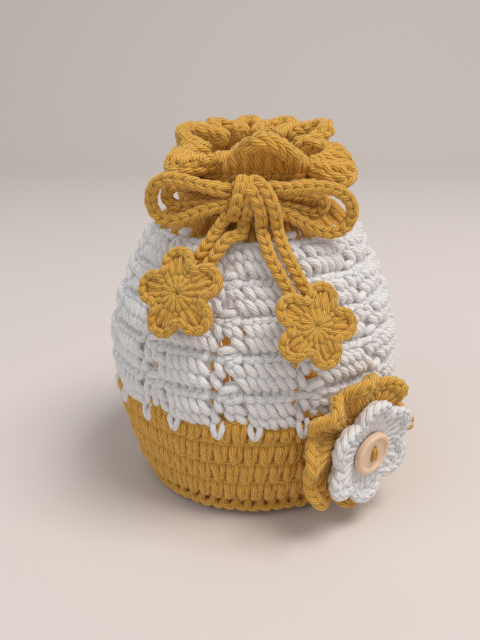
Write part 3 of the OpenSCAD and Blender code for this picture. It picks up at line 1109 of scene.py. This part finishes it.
    def build(self) -> None:
        """Work the tiers as three pieces and the picots as one more."""
        chart = self.chart()
        marks = [chart.at_height(z) for z in self.tier_marks]
        rows = [self.tier(chart, i, marks[i], marks[i + 1]) for i in range(len(marks) - 1)]
        pieces = (
            ("lace_lower", rows[:2], self.yarn),
            ("lace_middle", rows[2:4], self.yarn),
            ("lace_upper", rows[4:], self.yarn),
            ("lace_picots", self.picots(chart, marks[0]), self.picot_yarn),
        )
        for name, strands, yarn in pieces:
            self.shop.make(name, "lace_body", strands, yarn, Slot.CREAM)


@dataclass
class NeckBand:
    """Gathered slope, bundles that the drawstring passes between, and the hoop above."""

    shop: Workshop
    slope_posts: int = 72
    slope_in: float = 2.0
    slope_up: float = 0.6
    slope_top: float = 6.0
    fold: float = 0.8
    pull: float = 0.15
    bundle_az: tuple[float, float] = (-2.4, 2.4)
    bundle_width: float = 4.4
    bundle_h: float = 11.0
    bundle_foot: float = -1.0
    bundle_top: float = 14.0
    hoop_z: float = 115.7
    hoop_out: float = 0.3
    hoop_step: int = 4

    def slope(self) -> Strand:
        """Posts that narrow from the shoulder to the neck, folded by the gathers.

        Returns:
            The slope's yarn.
        """
        shop = self.shop
        p = shop.profile
        foot = (p.shoulder_r - self.slope_in, p.shoulder_z + self.slope_up)
        outline = [foot, (p.collar_r, p.neck_z), (p.collar_r, p.neck_z + self.slope_top)]
        wall = TurnedWall(np.array(outline), p.wall / 2)
        pitch = 360 / self.slope_posts
        posts = ring_posts(pitch * np.arange(self.slope_posts), 0.0, wall.reach[1], pitch)
        path = posts.work(Stitch(), shop.yarn)
        path[:, 2] += self.fold * np.cos(np.radians(path[:, 0] * 2 * p.gathers))
        return Strand.rounded(shop.loosen(wall(path), self.pull), closed=True)

    def bundles(self) -> list[Strand]:
        """Pairs of posts, one pair at each gather.

        Returns:
            The bundles' yarn.
        """
        p = self.shop.profile
        heights = (p.neck_z + self.bundle_foot, p.neck_z + self.bundle_top)
        tube = TurnedWall(np.array([(p.neck_r, z) for z in heights]), 0.0)
        strands = []
        for i in range(p.gathers):
            azimuths = p.gather_turn + 360 / p.gathers * (i + 0.5) + np.array(self.bundle_az)
            pair = ring_posts(azimuths, 0.0, self.bundle_h, self.bundle_width)
            strands.append(Strand.rounded(tube(pair.work(Stitch(), self.shop.yarn))))
        return strands

    def hoop(self) -> Strand:
        """Ring of chain above the bundles.

        Returns:
            The hoop's yarn.
        """
        p = self.shop.profile
        face = around(1.0, np.radians(np.arange(0, 360, self.hoop_step)), 0.0)
        ring = face * (p.neck_r + self.hoop_out) + np.array([0, 0, self.hoop_z])
        return ChainStitch().work(ring, face, self.shop.yarn, True)

    def build(self) -> None:
        """Work the slope, the bundles and the hoop as one piece."""
        strands = [self.slope(), *self.bundles(), self.hoop()]
        self.shop.make("neck_gathers", "eyelet_band", strands, self.shop.yarn)


@dataclass(frozen=True)
class Sag:
    """Place where the frill gives way: how far, at which azimuth, and how narrowly."""

    depth: float
    azimuth: float
    narrow: int = 8

    def at(self, a: np.ndarray) -> np.ndarray:
        """Depth at azimuths in radians."""
        return self.depth * np.clip(np.cos(a - math.radians(self.azimuth)), 0, 1) ** self.narrow


@dataclass
class Frill:
    """Ruffled frill: lobes of posts in a fan, folds between them, and a chain along the edge."""

    shop: Workshop
    foot_z: float = 116.2
    rim_r: float = 30.3
    back_in: float = 11.0
    front_h: float = 10.5
    back_h: float = 2.0
    lobes: int = 8
    lobe_posts: int = 8
    turn: float = 10.0
    crowd: float = 2.0
    swing: float = 5.0
    roundness: float = 0.8
    dip: float = 0.7
    dip_share: float = 0.65
    droops: tuple[Sag, ...] = (Sag(17.0, 54.0), Sag(12.0, -47.0))
    droop_out: float = 0.33
    pinch: Sag = Sag(7.0, -112.0)
    fold_in: float = 9.5
    fold_least: float = 0.3
    front_in: float = 6.5
    front_narrow: int = 4
    flare: float = 1.2
    past_rim: float = 1.3
    post_top: float = 0.94
    edge_at: float = 0.96
    edge_points: int = 480
    edge: ChainStitch = ChainStitch(pitch=3.8)
    slope_step: float = 0.02
    pull: float = 0.15
    yarn: float = 2.9
    stitch: Stitch = Stitch(head_low=0.90, head_high=1.0, head_out=0.3)

    def phase(self, a: np.ndarray) -> np.ndarray:
        """Turns of the lobes, in radians, at azimuths in radians."""
        first = math.radians(self.turn)
        return self.lobes * (a - first) - self.crowd * (np.sin(a) - math.sin(first))

    def middle(self, u: np.ndarray, a: np.ndarray) -> np.ndarray:
        """Middle of the fabric.

        Args:
            u: shares of the way to the rim.
            a: azimuths in radians.

        Returns:
            The places in space.
        """
        w = np.clip(u, 0, self.past_rim)
        lobe = np.abs(np.cos(self.phase(a) / 2)) ** self.roundness
        fold = 1 - lobe
        back = (1 - np.cos(a)) / 2
        dip = self.dip * (self.dip_share + (1 - self.dip_share) * np.cos(a)) * fold
        high = (self.front_h + self.back_h * back) * (1 - dip)
        sag = sum(droop.at(a) for droop in self.droops) * lobe
        tuck = self.fold_in * (self.fold_least + (1 - self.fold_least) * back) * fold
        tuck = tuck + self.front_in * (1 - back) ** self.front_narrow + self.pinch.at(a) * lobe
        neck = self.shop.profile.neck_r
        spread = self.rim_r - neck - self.back_in * back
        ruffle = self.swing * (lobe - fold)
        r = neck + spread * w**self.flare + w * w * (ruffle + self.droop_out * sag - tuck)
        z = self.foot_z + high * (1 - (1 - w) ** 2) - w * w * sag
        return around(r, a, z)

    def surface(self, chart: np.ndarray) -> np.ndarray:
        """Places on the frill.

        Args:
            chart: rows of azimuth, share of the way to the rim, and distance outwards.

        Returns:
            The places in space.
        """
        u, a, step = chart[:, 1], np.radians(chart[:, 0]), self.slope_step
        rise = self.middle(u + step, a) - self.middle(u - step, a)
        run = self.middle(u, a + step) - self.middle(u, a - step)
        return self.middle(u, a) + unit(np.cross(run, rise)) * chart[:, 2:]

    def posts(self) -> Strand:
        """Posts all round, as many in each lobe.

        Returns:
            Their yarn.
        """
        fine = np.linspace(0, 2 * np.pi, 2001)
        count = self.lobes * self.lobe_posts
        start = self.phase(np.zeros(1))[0]
        marks = start + 2 * np.pi * (np.arange(count) + 0.5) / self.lobe_posts
        azimuths = np.degrees(np.interp(marks, self.phase(fine), fine))
        widths = np.gradient(np.concatenate([azimuths[-1:] - 360, azimuths, azimuths[:1] + 360]))[1:-1]
        path = ring_posts(azimuths, 0.0, self.post_top, widths).work(self.stitch, self.yarn)
        return Strand.rounded(self.shop.loosen(self.surface(path), self.pull), closed=True)

    def rope(self) -> Strand:
        """Chain along the edge.

        Returns:
            Its yarn.
        """
        turn = np.linspace(0, 360, self.edge_points, endpoint=False)
        edge = np.stack([turn, 0 * turn + self.edge_at, 0 * turn], 1)
        middle = self.surface(edge)
        face = unit(self.surface(edge + np.array([0, 0, 1.0])) - middle)
        return self.edge.work(middle, face, self.yarn, True)

    def build(self) -> None:
        """Work the posts and the edge as one piece."""
        self.shop.make("frill_ruffle", "frill", [self.posts(), self.rope()], self.yarn)


@dataclass(frozen=True)
class BowRoute:
    """One strand of a bow loop: side and route outwards, towards the bag and up from its root."""

    node: str
    side: Side
    body: Body
    points: tuple[Point, ...]


LOOPS = (
    BowRoute("left_loop_outer", Side.LEFT, Body.LEFT_LOOP, (
        (0, 0, 2.6), (4.5, -0.5, 4), (9.5, -0.8, 5.5), (14, -0.2, 6), (17.8, 1.2, 4.5), (19.8, 2.4, 1),
        (19.8, 2.8, -3), (17.4, 2.2, -6.2), (13, 1, -7), (8.5, 0.2, -5.5), (4, 0, -3.6), (0, 0, -2.6))),
    BowRoute("left_loop_inner", Side.LEFT, Body.LEFT_LOOP, (
        (0, 4.8, 2.6), (4, 4.8, 3), (8.5, 5, 3.4), (12.5, 5.6, 3.2), (15.4, 6.4, 1.4),
        (15.4, 6.6, -1.6), (12.4, 5.8, -3.6), (8, 5, -3.4), (4, 4.8, -3), (0, 4.8, -2.6))),
    BowRoute("right_loop_outer", Side.RIGHT, Body.RIGHT_LOOP, (
        (0, 0, 2.6), (5.5, -0.4, 3), (11, -0.4, 3.4), (16.2, 0.6, 3.2), (21, 1.8, 1.4), (24.3, 3, -2.2),
        (24.7, 3.4, -6.4), (21.8, 2.8, -10), (17, 1.8, -10.8), (11.6, 0.8, -8.6), (5.8, 0, -5.4),
        (0, 0, -2.6))),
    BowRoute("right_loop_inner", Side.RIGHT, Body.RIGHT_LOOP, (
        (0, 4.8, 2.6), (4, 4.8, 2.2), (8.5, 5.4, 1.6), (12.5, 6.2, 0.8), (15.8, 7.2, -1.2),
        (16.2, 7.6, -4.2), (13.4, 7.2, -6), (8.5, 6, -4.8), (4, 5, -3.6), (0, 4.8, -2.6))),
)


@dataclass(frozen=True)
class TailStrand:
    """One strand of a tail: its side of the tail's middle, and its places from the knot's middle."""

    node: str
    lane: Side
    knot_points: tuple[Point, ...]


@dataclass(frozen=True)
class TailRoute:
    """One tail: root, route down the bag (azimuth, drop below the root, extra lift), spread and flower."""

    body: Body
    root_x: float
    points: tuple[Point, ...]
    spread: float
    flower_az: float
    flower_drop: float
    flower_turn: float
    flower_size: float
    strands: tuple[TailStrand, ...]


TAILS = (
    TailRoute(
        Body.LEFT_TAIL, -7.25, ((-14.5, 4, 0.8), (-19.5, 8.5, 0.2), (-23.5, 12.5, 0)),
        spread=-0.2, flower_az=-25, flower_drop=29, flower_turn=103, flower_size=0.98,
        strands=(
            TailStrand("left_tail_outer", Side.LEFT, ((-2.0, 1.5, -0.5),)),
            TailStrand("left_tail_inner", Side.RIGHT, ((-2.0, 1.5, -0.5),)),
        ),
    ),
    TailRoute(
        Body.RIGHT_TAIL, 4.5, ((7, 3, 1.2), (9.5, 7.5, 0.3), (12.5, 12, 0), (15.5, 17, 0), (18.5, 21, 0)),
        spread=0.1, flower_az=18.5, flower_drop=36.5, flower_turn=70, flower_size=0.9,
        strands=(
            TailStrand("right_tail_outer", Side.RIGHT, (
                (2, -1.2, 5.4), (5.4, -3.8, 4.4), (8.2, -4.7, -0.5), (9.5, -3.8, -5.2))),
            TailStrand("right_tail_inner", Side.LEFT, (
                (0, -2.4, 3.6), (2.6, -4.6, 2.6), (4.4, -5.1, -1.5), (5.1, -4.2, -5.5))),
        ),
    ),
)


@dataclass(frozen=True)
class PetalBend:
    """How a flower's petals bend: their rise at a radius, and the waves of their rim."""

    rim_r: float = 1.0
    rise: float = 0.0
    wave: float = 0.0
    waves: int = 0
    uneven: float = 0.0
    size: float = 1.0


@dataclass
class FlowerFrame:
    """Frame of a flower that lies on the bag: its middle, its axes and how its petals bend."""

    middle: np.ndarray
    across: np.ndarray
    up: np.ndarray
    out: np.ndarray
    bend: PetalBend

    @classmethod
    def on_bag(
        cls, middle: np.ndarray, azimuth: float, tilt: float, turn: float, bend: PetalBend
    ) -> "FlowerFrame":
        """Frame that faces away from the bag.

        Args:
            middle: middle of the flower.
            azimuth: in degrees.
            tilt: upward tilt of its face, in radians.
            turn: turn of its first petal about its face, in degrees.
            bend: of its petals.

        Returns:
            The frame.
        """
        a, t = math.radians(azimuth), math.radians(turn)
        right = np.array([math.cos(a), math.sin(a), 0])
        up = around(-math.sin(tilt), a, math.cos(tilt))
        out = around(math.cos(tilt), a, math.sin(tilt))
        across = right * math.cos(t) + up * math.sin(t)
        return cls(middle, across, up * math.cos(t) - right * math.sin(t), out, bend)

    def flat(self, chart: np.ndarray) -> np.ndarray:
        """Places of rows of across, up and out, with no bend."""
        return self.middle + chart @ np.stack([self.across, self.up, self.out])

    def __call__(self, chart: np.ndarray) -> np.ndarray:
        """Places on the bent petals.

        Args:
            chart: rows of flat x, flat y and distance off the petals.

        Returns:
            The places in space.
        """
        bend = self.bend
        x, y = chart[:, :2].T * bend.size
        a = np.arctan2(y, x)
        deep = bend.wave * (1 + bend.uneven * np.cos(2 * a + 1))
        folds = np.cos(bend.waves * a + 2 * bend.uneven * np.sin(3 * a))
        lift = (np.hypot(x, y) / bend.rim_r) ** 2 * (bend.rise + deep * folds) + chart[:, 2]
        return self.flat(np.stack([x, y, lift], 1))


@dataclass(frozen=True)
class FlowerWork:
    """Stitches of a flower: a round of posts about its middle, petals of posts in a fan, and a roped rim.

    The eye is the round's count of posts and the radii of their feet and heads.
    """

    petals: int
    eye: tuple[int, float, float]
    petal_posts: int
    petal_foot_r: float
    petal_middle_r: float
    petal_r: float
    rim: float
    fan: float = 84.0
    rim_up: float = 0.4
    rim_out: float = 0.5
    rim_fan: float = 10.0
    rim_points: int = 15
    rim_pitch: float = 3.0
    foot_fan: float = 0.8
    pull: float = 0.1
    eye_stitch: Stitch = Stitch(head_low=0.92, head_out=0.2)
    petal_stitch: Stitch = Stitch(head_low=0.9, head_out=0.2)

    def round(self) -> Posts:
        """Round about the middle.

        Returns:
            Its posts on the flat flower.
        """
        count, low, high = self.eye
        a = -2 * np.pi * np.arange(count) / count
        side = sides(a) * (2 * np.pi / count)
        return Posts(rays(a) * low, rays(a) * high, side * low, side * high)

    def turn(self, k: int) -> np.ndarray:
        """Turn of one petal, for rows of flat places."""
        axis = 2 * np.pi * k / self.petals
        return np.array([[math.cos(axis), math.sin(axis)], [-math.sin(axis), math.cos(axis)]])

    def fans(self) -> list[Posts]:
        """Petals, each one unbroken fan of posts.

        Returns:
            Their posts on the flat flower.
        """
        gaps = self.petal_posts - 1
        foot_fan = self.foot_fan * np.pi / self.petals
        beta = np.radians(np.linspace(self.fan, -self.fan, self.petal_posts))
        alpha = beta * foot_fan / math.radians(self.fan)
        heads = rays(beta) * self.petal_r + np.array([self.petal_middle_r, 0])
        feet = self.petal_foot_r * rays(alpha)
        head_side = sides(beta) * (self.petal_r * math.radians(2 * self.fan) / gaps)
        foot_side = sides(alpha) * (self.petal_foot_r * 2 * foot_fan / gaps)
        rows = (feet, heads, foot_side, head_side)
        return [Posts(*(row @ self.turn(k) for row in rows)) for k in range(self.petals)]

    def outline(self) -> np.ndarray:
        """Outline of the petals, for the rope.

        Returns:
            Rows of flat x, flat y and distance off the petals.
        """
        reach = self.fan + self.rim_fan
        beta = np.radians(np.linspace(-reach, reach, self.rim_points))
        arc = rays(beta) * (self.petal_r + self.rim_out) + np.array([self.petal_middle_r, 0])
        flat = smooth(np.vstack([arc @ self.turn(k) for k in range(self.petals)]), 2, True)
        return np.column_stack([flat, np.full(len(flat), self.rim_up)])

    def strands(self, bed: FlowerFrame, shop: Workshop) -> list[Strand]:
        """Work the whole flower.

        Args:
            bed: the flower's frame.
            shop: yarn to work in.

        Returns:
            The yarn of the round, the petals and the rope.
        """
        eye = Strand.rounded(bed(self.round().work(self.eye_stitch, shop.yarn)), closed=True)
        paths = [bed(fan.work(self.petal_stitch, shop.yarn)) for fan in self.fans()]
        petals = [Strand.rounded(shop.loosen(path, self.pull)) for path in paths]
        rope = ChainStitch(self.rim_pitch, self.rim).work(bed(self.outline()), bed.out, shop.yarn, True)
        return [eye, *petals, rope]


@dataclass
class Drawstring:
    """Doubled chain cord: two strands through the neck, the bow's knot, its loops and its tails.

    A wrap of the knot is its shift aside, depth, height and lean. Inside the knot, each end of a loop
    goes back, deeper and closer to the other end.
    """

    shop: Workshop
    cord: float = 4.4
    route_steps: int = 8
    chain: ChainStitch = ChainStitch()
    strand_side: float = 2.35
    strand_heights: tuple[float, float] = (107.5, 112.2)
    weave_swing: float = 4.0
    weave_open: float = 8.0
    weave_step: float = 5.0
    gate_out: float = 1.0
    knot: Point = (-3.0, -34.2, 109.85)
    knot_back: float = 4.6
    wraps: tuple[tuple[float, float, float, float], ...] = (
        (-2.0, 4.2, 5.6, 1.5), (1.8, 4.3, 5.5, 1.3), (0.0, 2.2, 4.0, 0.2),
    )
    loop_root: float = 8.5
    loop_inside: tuple[float, float, float] = (4.8, 1.0, 1.2)
    loop_bend: float = 3.0
    loop_face: Point = (0.0, -1.0, 0.25)
    neck_face: Point = (0.0, 0.0, 1.0)
    tail_root: tuple[float, float] = (-36.4, 100.45)
    tail_under: float = 4.0
    tail_bend: float = 4.0
    tail_lift: float = 2.8
    face_share: float = 0.7
    face_up: float = 8.0
    flower_lift: float = 7.6
    flower_r: float = 14.0
    flower_rise: float = -2.0
    flower_yarn: float = 0.9
    flower: FlowerWork = FlowerWork(5, (14, 0.9, 6.6), 4, 5.6, 9.2, 3.7, rim=0.6, fan=96.0, rim_up=1.1)

    def loop_route(self, loop: BowRoute) -> np.ndarray:
        """Route of a loop, from inside the knot and back into it.

        Args:
            loop: the strand of the loop.

        Returns:
            Points along the strand.
        """
        flip = np.array([loop.side.value, 1, 1])
        route = np.array(self.knot) + (np.array(loop.points, float) + [self.loop_root, 0, 0]) * flip
        back, deep, close = self.loop_inside
        start = route[0] + np.array([-back, deep, -close]) * flip
        end = route[-1] + np.array([-back, deep, close]) * flip
        return np.vstack([start, route, end])

    def tail_route(self, tail: TailRoute, strand: TailStrand) -> np.ndarray:
        """Route of one strand of a tail, from the knot to the back of its flower.

        Args:
            tail: the tail.
            strand: the strand of it.

        Returns:
            Points along the strand.
        """
        p = self.shop.profile
        y, z = self.tail_root
        way = [p.off_skin(az, z - drop, self.tail_lift + lift) for az, drop, lift in tail.points]
        end = p.off_skin(tail.flower_az, self.knot[2] - tail.flower_drop, self.tail_lift)
        middle = np.vstack([(tail.root_x, y, z), *way, end])
        steps = len(middle) - 1
        nearby = np.clip(np.arange(-1, steps + 2), 0, steps)
        heading = unit(middle[nearby[2:]] - middle[nearby[:-2]])
        path = []
        for i, point in enumerate(middle):
            apart = self.strand_side + tail.spread * math.sin(math.pi * i / steps)
            across = unit(np.array([-point[1], point[0], 0])) if i else np.array([1.0, 0, 0])
            level = across - heading[i] * (across @ heading[i])
            aside = unit(level) if i else across / np.linalg.norm(level)
            path.append(point + strand.lane.value * apart * aside)
        start = np.array(strand.knot_points) + np.array(self.knot)
        under = path[-1] + unit(path[-1] - path[-2]) * self.tail_under
        return np.vstack([start, path, under])

    def work_cord(
        self, node: str, route: np.ndarray, front: Sequence[float], body: Body = Body.BAG,
        bend: Bend | None = None,
    ) -> tuple[bpy.types.Object, np.ndarray]:
        """Work one strand of the drawstring along a route.

        Args:
            node: the strand's solid.
            route: points along the strand.
            front: direction its face looks in.
            body: body that carries it.
            bend: where it leaves the bag and where it follows the body alone.

        Returns:
            The piece and the close points that it follows.
        """
        yarn = self.shop.yarn
        line = smooth(route, self.route_steps, False)
        strand = self.chain.work(line, np.array(front), yarn)
        return self.shop.make(node + "_cord", node, [strand], yarn, body=body, bend=bend), line

    def declare(
        self, piece: bpy.types.Object, line: np.ndarray, far_end: FarEnd, lay: Lay,
        **more: list[bpy.types.Object],
    ) -> None:
        """Work out a strand's start, length and points in metres, and keep none of them.

        Args:
            piece: the strand; not used.
            line: close points along it.
            far_end: what holds its far end; not used.
            lay: how it lies; not used.
            more: pieces that go with it; not used.
        """
        tuple(line[0] * MM)
        float(lengths(line)[-1]) * MM
        (line * MM).tolist()

    def build_loops(self) -> None:
        for loop in LOOPS:
            side = np.array([loop.side.value, 0, 0])
            root = np.array(self.knot) + side * self.loop_root
            bend = (root - side * self.loop_bend, root + side * self.loop_bend)
            piece, line = self.work_cord(loop.node, self.loop_route(loop), self.loop_face, loop.body, bend)
            self.declare(piece, line, FarEnd.KNOT, Lay.LOOSE)

    def build_tails(self) -> None:
        shop = self.shop
        p = shop.profile
        for tail in TAILS:
            az, z = tail.flower_az, self.knot[2] - tail.flower_drop
            petals = PetalBend(self.flower_r, self.flower_rise, size=tail.flower_size)
            middle = p.off_skin(az, z, self.flower_lift)
            bed = FlowerFrame.on_bag(middle, az, p.tilt(z), tail.flower_turn, petals)
            node = tail.body.value + "_flower"
            strands = self.flower.strands(bed, shop)
            flower = shop.make(node + "_yarn", node, strands, shop.yarn * self.flower_yarn, body=tail.body)
            front = p.outwards(az * self.face_share, z + self.face_up)
            root = np.array([tail.root_x, *self.tail_root])
            drop = np.array([0, 0, self.tail_bend])
            bend = (root + drop, root - drop)
            for strand in tail.strands:
                route = self.tail_route(tail, strand)
                piece, line = self.work_cord(strand.node, route, front, tail.body, bend)
                self.declare(piece, line, FarEnd.FLOWER, Lay.HANGING, with_pieces=[flower])

    def build_neck(self) -> None:
        """Work the two strands that weave between the gathers."""
        p = self.shop.profile
        pitch = 360 / p.gathers
        first = pitch / 2 - self.weave_open
        az = np.arange(first, 360 - first + 1, self.weave_step)
        r = p.neck_r - self.weave_swing * np.cos(np.radians(p.gathers / 2 * (az - pitch / 2)))
        x, y, _ = self.knot
        left, right = x - self.strand_side, x + self.strand_side
        back, gate = y + self.knot_back, -(p.neck_r + self.gate_out)
        for node, z in zip(("neck_strand_lower", "neck_strand_upper"), self.strand_heights):
            ring = around(r, np.radians(p.gather_turn + az), z)
            route = np.vstack([(right, back, z), (right, gate, z), ring, (left, gate, z), (left, back, z)])
            self.work_cord(node, route, self.neck_face)

    def build_knot(self) -> None:
        """Work the wraps of the knot."""
        yarn = self.shop.yarn
        turn = np.radians(np.arange(0, 360, 10))
        face = np.stack([0 * turn, -np.cos(turn), np.sin(turn)], 1)
        strands = []
        for shift, deep, tall, lean in self.wraps:
            ring = face * np.array([1, deep, tall]) + np.array(self.knot)
            ring[:, 0] += shift + lean * np.sin(turn)
            strands.append(self.chain.work(ring, face, yarn, True))
        self.shop.make("bow_knot_wraps", "bow_knot", strands, yarn)

    def build(self) -> None:
        """Work the whole drawstring, cords first."""
        self.build_loops()
        self.build_tails()
        self.build_neck()
        self.build_knot()


@dataclass
class Applique:
    """Sewn flower: a ruffled mustard flower, a white flower on it, a wooden button and its yarn.

    A sewing stitch is rows of its share of the stitches' radius and its height off the bag.
    """

    shop: Workshop
    azimuth: float = 39.0
    height: float = 30.0
    tilt: float = -5.0
    ruffle: FlowerWork = FlowerWork(8, (20, 5.0, 13.0), 7, 12.0, 17.4, 7.0, rim=1.15)
    ruffle_bend: PetalBend = PetalBend(25.5, 3.0, wave=3.0, waves=8, uneven=0.3, size=0.93)
    ruffle_lift: float = 3.1
    ruffle_aside: tuple[float, float] = (-2.8, 3.0)
    ruffle_yarn: float = 1.12
    blossom: FlowerWork = FlowerWork(6, (12, 0.9, 6.6), 5, 6.0, 11.8, 5.6, rim=0.8)
    blossom_bend: PetalBend = PetalBend(18.5, 3.6)
    blossom_lift: float = 6.8
    blossom_turn: float = 30.0
    blossom_yarn: float = 1.1
    button_lift: float = 9.39
    button_t: float = 2.6
    button_dish: float = 0.7
    hole_pitch: float = 4.4
    bar_shift: float = 0.55
    bar_close: float = 0.5
    bar_flat: float = 0.7
    bar_heights: tuple[float, float] = (-0.4, 0.6)
    bar_end: float = -1.0
    bar_yarn: float = 1.2
    sewing_count: int = 6
    sewing_r: float = 6.0
    sewing: tuple[tuple[float, float], ...] = ((1.0, -2.0), (1.0, 0.0), (1.1, 1.6), (1.3, 2.6))
    sewing_yarn: float = 1.6

    def bed_at(self, lift: float, turn: float = 0.0, bend: PetalBend = PetalBend()) -> FlowerFrame:
        """Frame of one layer.

        Args:
            lift: height off the bag.
            turn: turn about its face, in degrees.
            bend: of its petals.

        Returns:
            The frame.
        """
        seat = around(float(self.shop.profile.radius(self.height)), math.radians(self.azimuth), self.height)
        bed = FlowerFrame.on_bag(seat, self.azimuth, math.radians(self.tilt), turn, bend)
        bed.middle = seat + bed.out * lift
        return bed

    def build_flowers(self) -> None:
        """Work both flowers."""
        shop = self.shop
        outer = self.bed_at(self.ruffle_lift, bend=self.ruffle_bend)
        outer.middle = outer.flat(np.array([*self.ruffle_aside, 0.0]))
        strands = self.ruffle.strands(outer, shop)
        shop.make("ruffle_yarn", "applique_ruffle", strands, self.ruffle_yarn * shop.yarn)
        inner = self.bed_at(self.blossom_lift, self.blossom_turn, self.blossom_bend)
        strands = self.blossom.strands(inner, shop)
        shop.make("blossom_yarn", "applique_blossom", strands, self.blossom_yarn * shop.yarn, Slot.CREAM)

    def build_button(self) -> None:
        """Dress the button and work the yarn through it."""
        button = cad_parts["applique_button"]
        button.data.materials.clear()
        button.data.materials.append(self.shop.finishes[Slot.WOOD])
        bed = self.bed_at(self.button_lift)
        half = self.hole_pitch / 2
        sunk, proud = (self.button_t - self.button_dish + height for height in self.bar_heights)
        strands = []
        for shift in (-self.bar_shift, self.bar_shift):
            end = (shift * self.bar_close, half, self.bar_end)
            down = np.array([(shift, half * self.bar_flat, proud), (shift, half, sunk), end])
            strands.append(Strand.rounded(bed.flat(np.vstack([down[::-1] * [1, -1, 1], down])), 4))
        self.shop.make("button_yarn", "button_thread", strands, self.bar_yarn)

    def build_sewing(self) -> None:
        """Work the stitches behind the ruffled flower."""
        bed = self.bed_at(0.0)
        strands = []
        for x, y in rays(2 * np.pi * np.arange(self.sewing_count) / self.sewing_count) * self.sewing_r:
            chart = np.array([(x * share, y * share, height) for share, height in self.sewing])
            strands.append(Strand.rounded(bed.flat(chart), 3))
        self.shop.make("sewing_yarn", "applique_stitches", strands, self.sewing_yarn)

    def build(self) -> None:
        """Work the flowers, the button's yarn and the sewing."""
        self.build_flowers()
        self.build_button()
        self.build_sewing()


@dataclass(frozen=True)
class Softbox:
    """Square soft light, with its place and side in metres and its power in watts."""

    name: str
    place: Point
    side: float
    power: float
    colour: Colour
    aim: Point = (0.0, 0.0, 0.06)

    def build(self) -> None:
        """Add the light, looking at the bag."""
        data = bpy.data.lights.new(self.name, "AREA")
        data.size = self.side
        data.energy = self.power
        data.color = self.colour
        lamp = add_object(self.name, data)
        lamp.location = self.place
        x, y, z = np.array(self.aim) - np.array(self.place)
        lamp.rotation_euler = (math.atan2(math.hypot(x, y), -z), 0, math.atan2(-x, y))


@dataclass
class Studio:
    """Floor, soft lights and the camera at the photograph's angle. The floor's sizes are in metres."""

    camera_place: Point = (0.0, -219.0, 141.6)
    pitch_down: float = 21.0
    focal_px: float = 610.0
    image_px: tuple[int, int] = (480, 640)
    middle_x: float = 254.3
    sensor: float = 36.0
    near: float = 0.01
    floor_colour: Colour = (0.70, 0.64, 0.60)
    floor_half: float = 2.4
    floor_front: float = -1.6
    floor_back: float = 0.9
    floor_bend: float = 0.5
    backdrop_top: float = 2.4
    softboxes: tuple[Softbox, ...] = (
        Softbox("key", (0.6, -0.3, 1.45), 0.7, 17.0, (1.0, 0.96, 0.92)),
        Softbox("fill", (-0.9, -0.7, 1.0), 1.0, 3.0, (0.92, 0.96, 1.0)),
    )
    inside_place: Point = (0.0, 0.0, 0.06)
    inside_size: float = 0.02
    inside_power: float = 0.035
    room_colour: Colour = (0.93, 0.95, 1.0)
    room_strength: float = 0.45

    def camera(self) -> None:
        """Create the camera."""
        data = bpy.data.cameras.new("camera")
        data.sensor_width = self.sensor
        data.lens = self.sensor * self.focal_px / max(self.image_px)
        data.shift_x = (self.image_px[0] / 2 - self.middle_x) / max(self.image_px)
        data.clip_start = self.near
        camera = add_object("camera", data)
        camera.location = np.array(self.camera_place) * MM
        camera.rotation_euler = (math.radians(90 - self.pitch_down), 0, 0)
        bpy.context.scene.camera = camera

    def floor(self) -> None:
        """Pale floor that curves up into a backdrop."""
        back, bend = self.floor_back, self.floor_bend
        curve = [
            (back + bend * math.sin(t), bend * (1 - math.cos(t))) for t in np.linspace(0, np.pi / 2, 16)
        ]
        line = [(self.floor_front, 0.0), *curve, (back + bend, self.backdrop_top)]
        verts = [(x, y, z) for y, z in line for x in (-self.floor_half, self.floor_half)]
        faces = [(2 * i, 2 * i + 1, 2 * i + 3, 2 * i + 2) for i in range(len(line) - 1)]
        mesh = bpy.data.meshes.new("floor")
        mesh.from_pydata(verts, [], faces)
        mesh.shade_smooth()
        mesh.materials.append(FloorFinish("floor_paper", self.floor_colour).material())
        add_object("floor", mesh)

    def inside_lamp(self) -> None:
        """Weak lamp in the bag, which keeps the openings of the lace from going black."""
        data = bpy.data.lights.new("inside", "POINT")
        data.energy = self.inside_power
        data.shadow_soft_size = self.inside_size
        add_object("inside", data).location = self.inside_place

    def room(self) -> None:
        """Even light from all round."""
        world = bpy.data.worlds.new("room")
        bpy.context.scene.world = world
        world.use_nodes = True
        background = world.node_tree.nodes["Background"].inputs
        background["Color"].default_value = (*self.room_colour, 1.0)
        background["Strength"].default_value = self.room_strength

    def build(self) -> None:
        """Camera, floor and lights."""
        bpy.context.scene.view_settings.view_transform = "Standard"
        self.camera()
        self.floor()
        for softbox in self.softboxes:
            softbox.build()
        self.inside_lamp()
        self.room()


FINISHES = {
    Slot.MUSTARD: YarnFinish(
        "mustard_cotton",
        ridge=(0.88, 0.50, 0.086),
        # painted shade: colour of the grooves between plies
        painted_groove_shade=(0.50, 0.23, 0.028),
        shade=(0.90, 0.80, 0.70),
        sheen_tint=(1.0, 0.72, 0.34),
    ),
    Slot.CREAM: YarnFinish(
        "cream_cotton",
        ridge=(0.87, 0.85, 0.84),
        # painted shade: colour of the grooves between plies
        painted_groove_shade=(0.74, 0.71, 0.69),
        shade=(0.92, 0.90, 0.88),
        glow=0.5,
        # painted light: the cream yarn glows faintly to lift the gaps between strands
        painted_light=0.05,
    ),
    Slot.WOOD: WoodFinish("button_wood", light=(0.86, 0.64, 0.46), dark=(0.72, 0.48, 0.31)),
}


def main() -> None:
    """Build the studio and every sub-assembly."""
    logging.basicConfig(level=logging.INFO, format="%(message)s")
    Studio().build()
    shop = Workshop(YarnTree(), {slot: finish.material() for slot, finish in FINISHES.items()})
    for sub_assembly in (Drawstring, BaseCup, LaceBody, NeckBand, Frill, Applique):
        sub_assembly(shop).build()


if __name__ == "__main__":
    main()
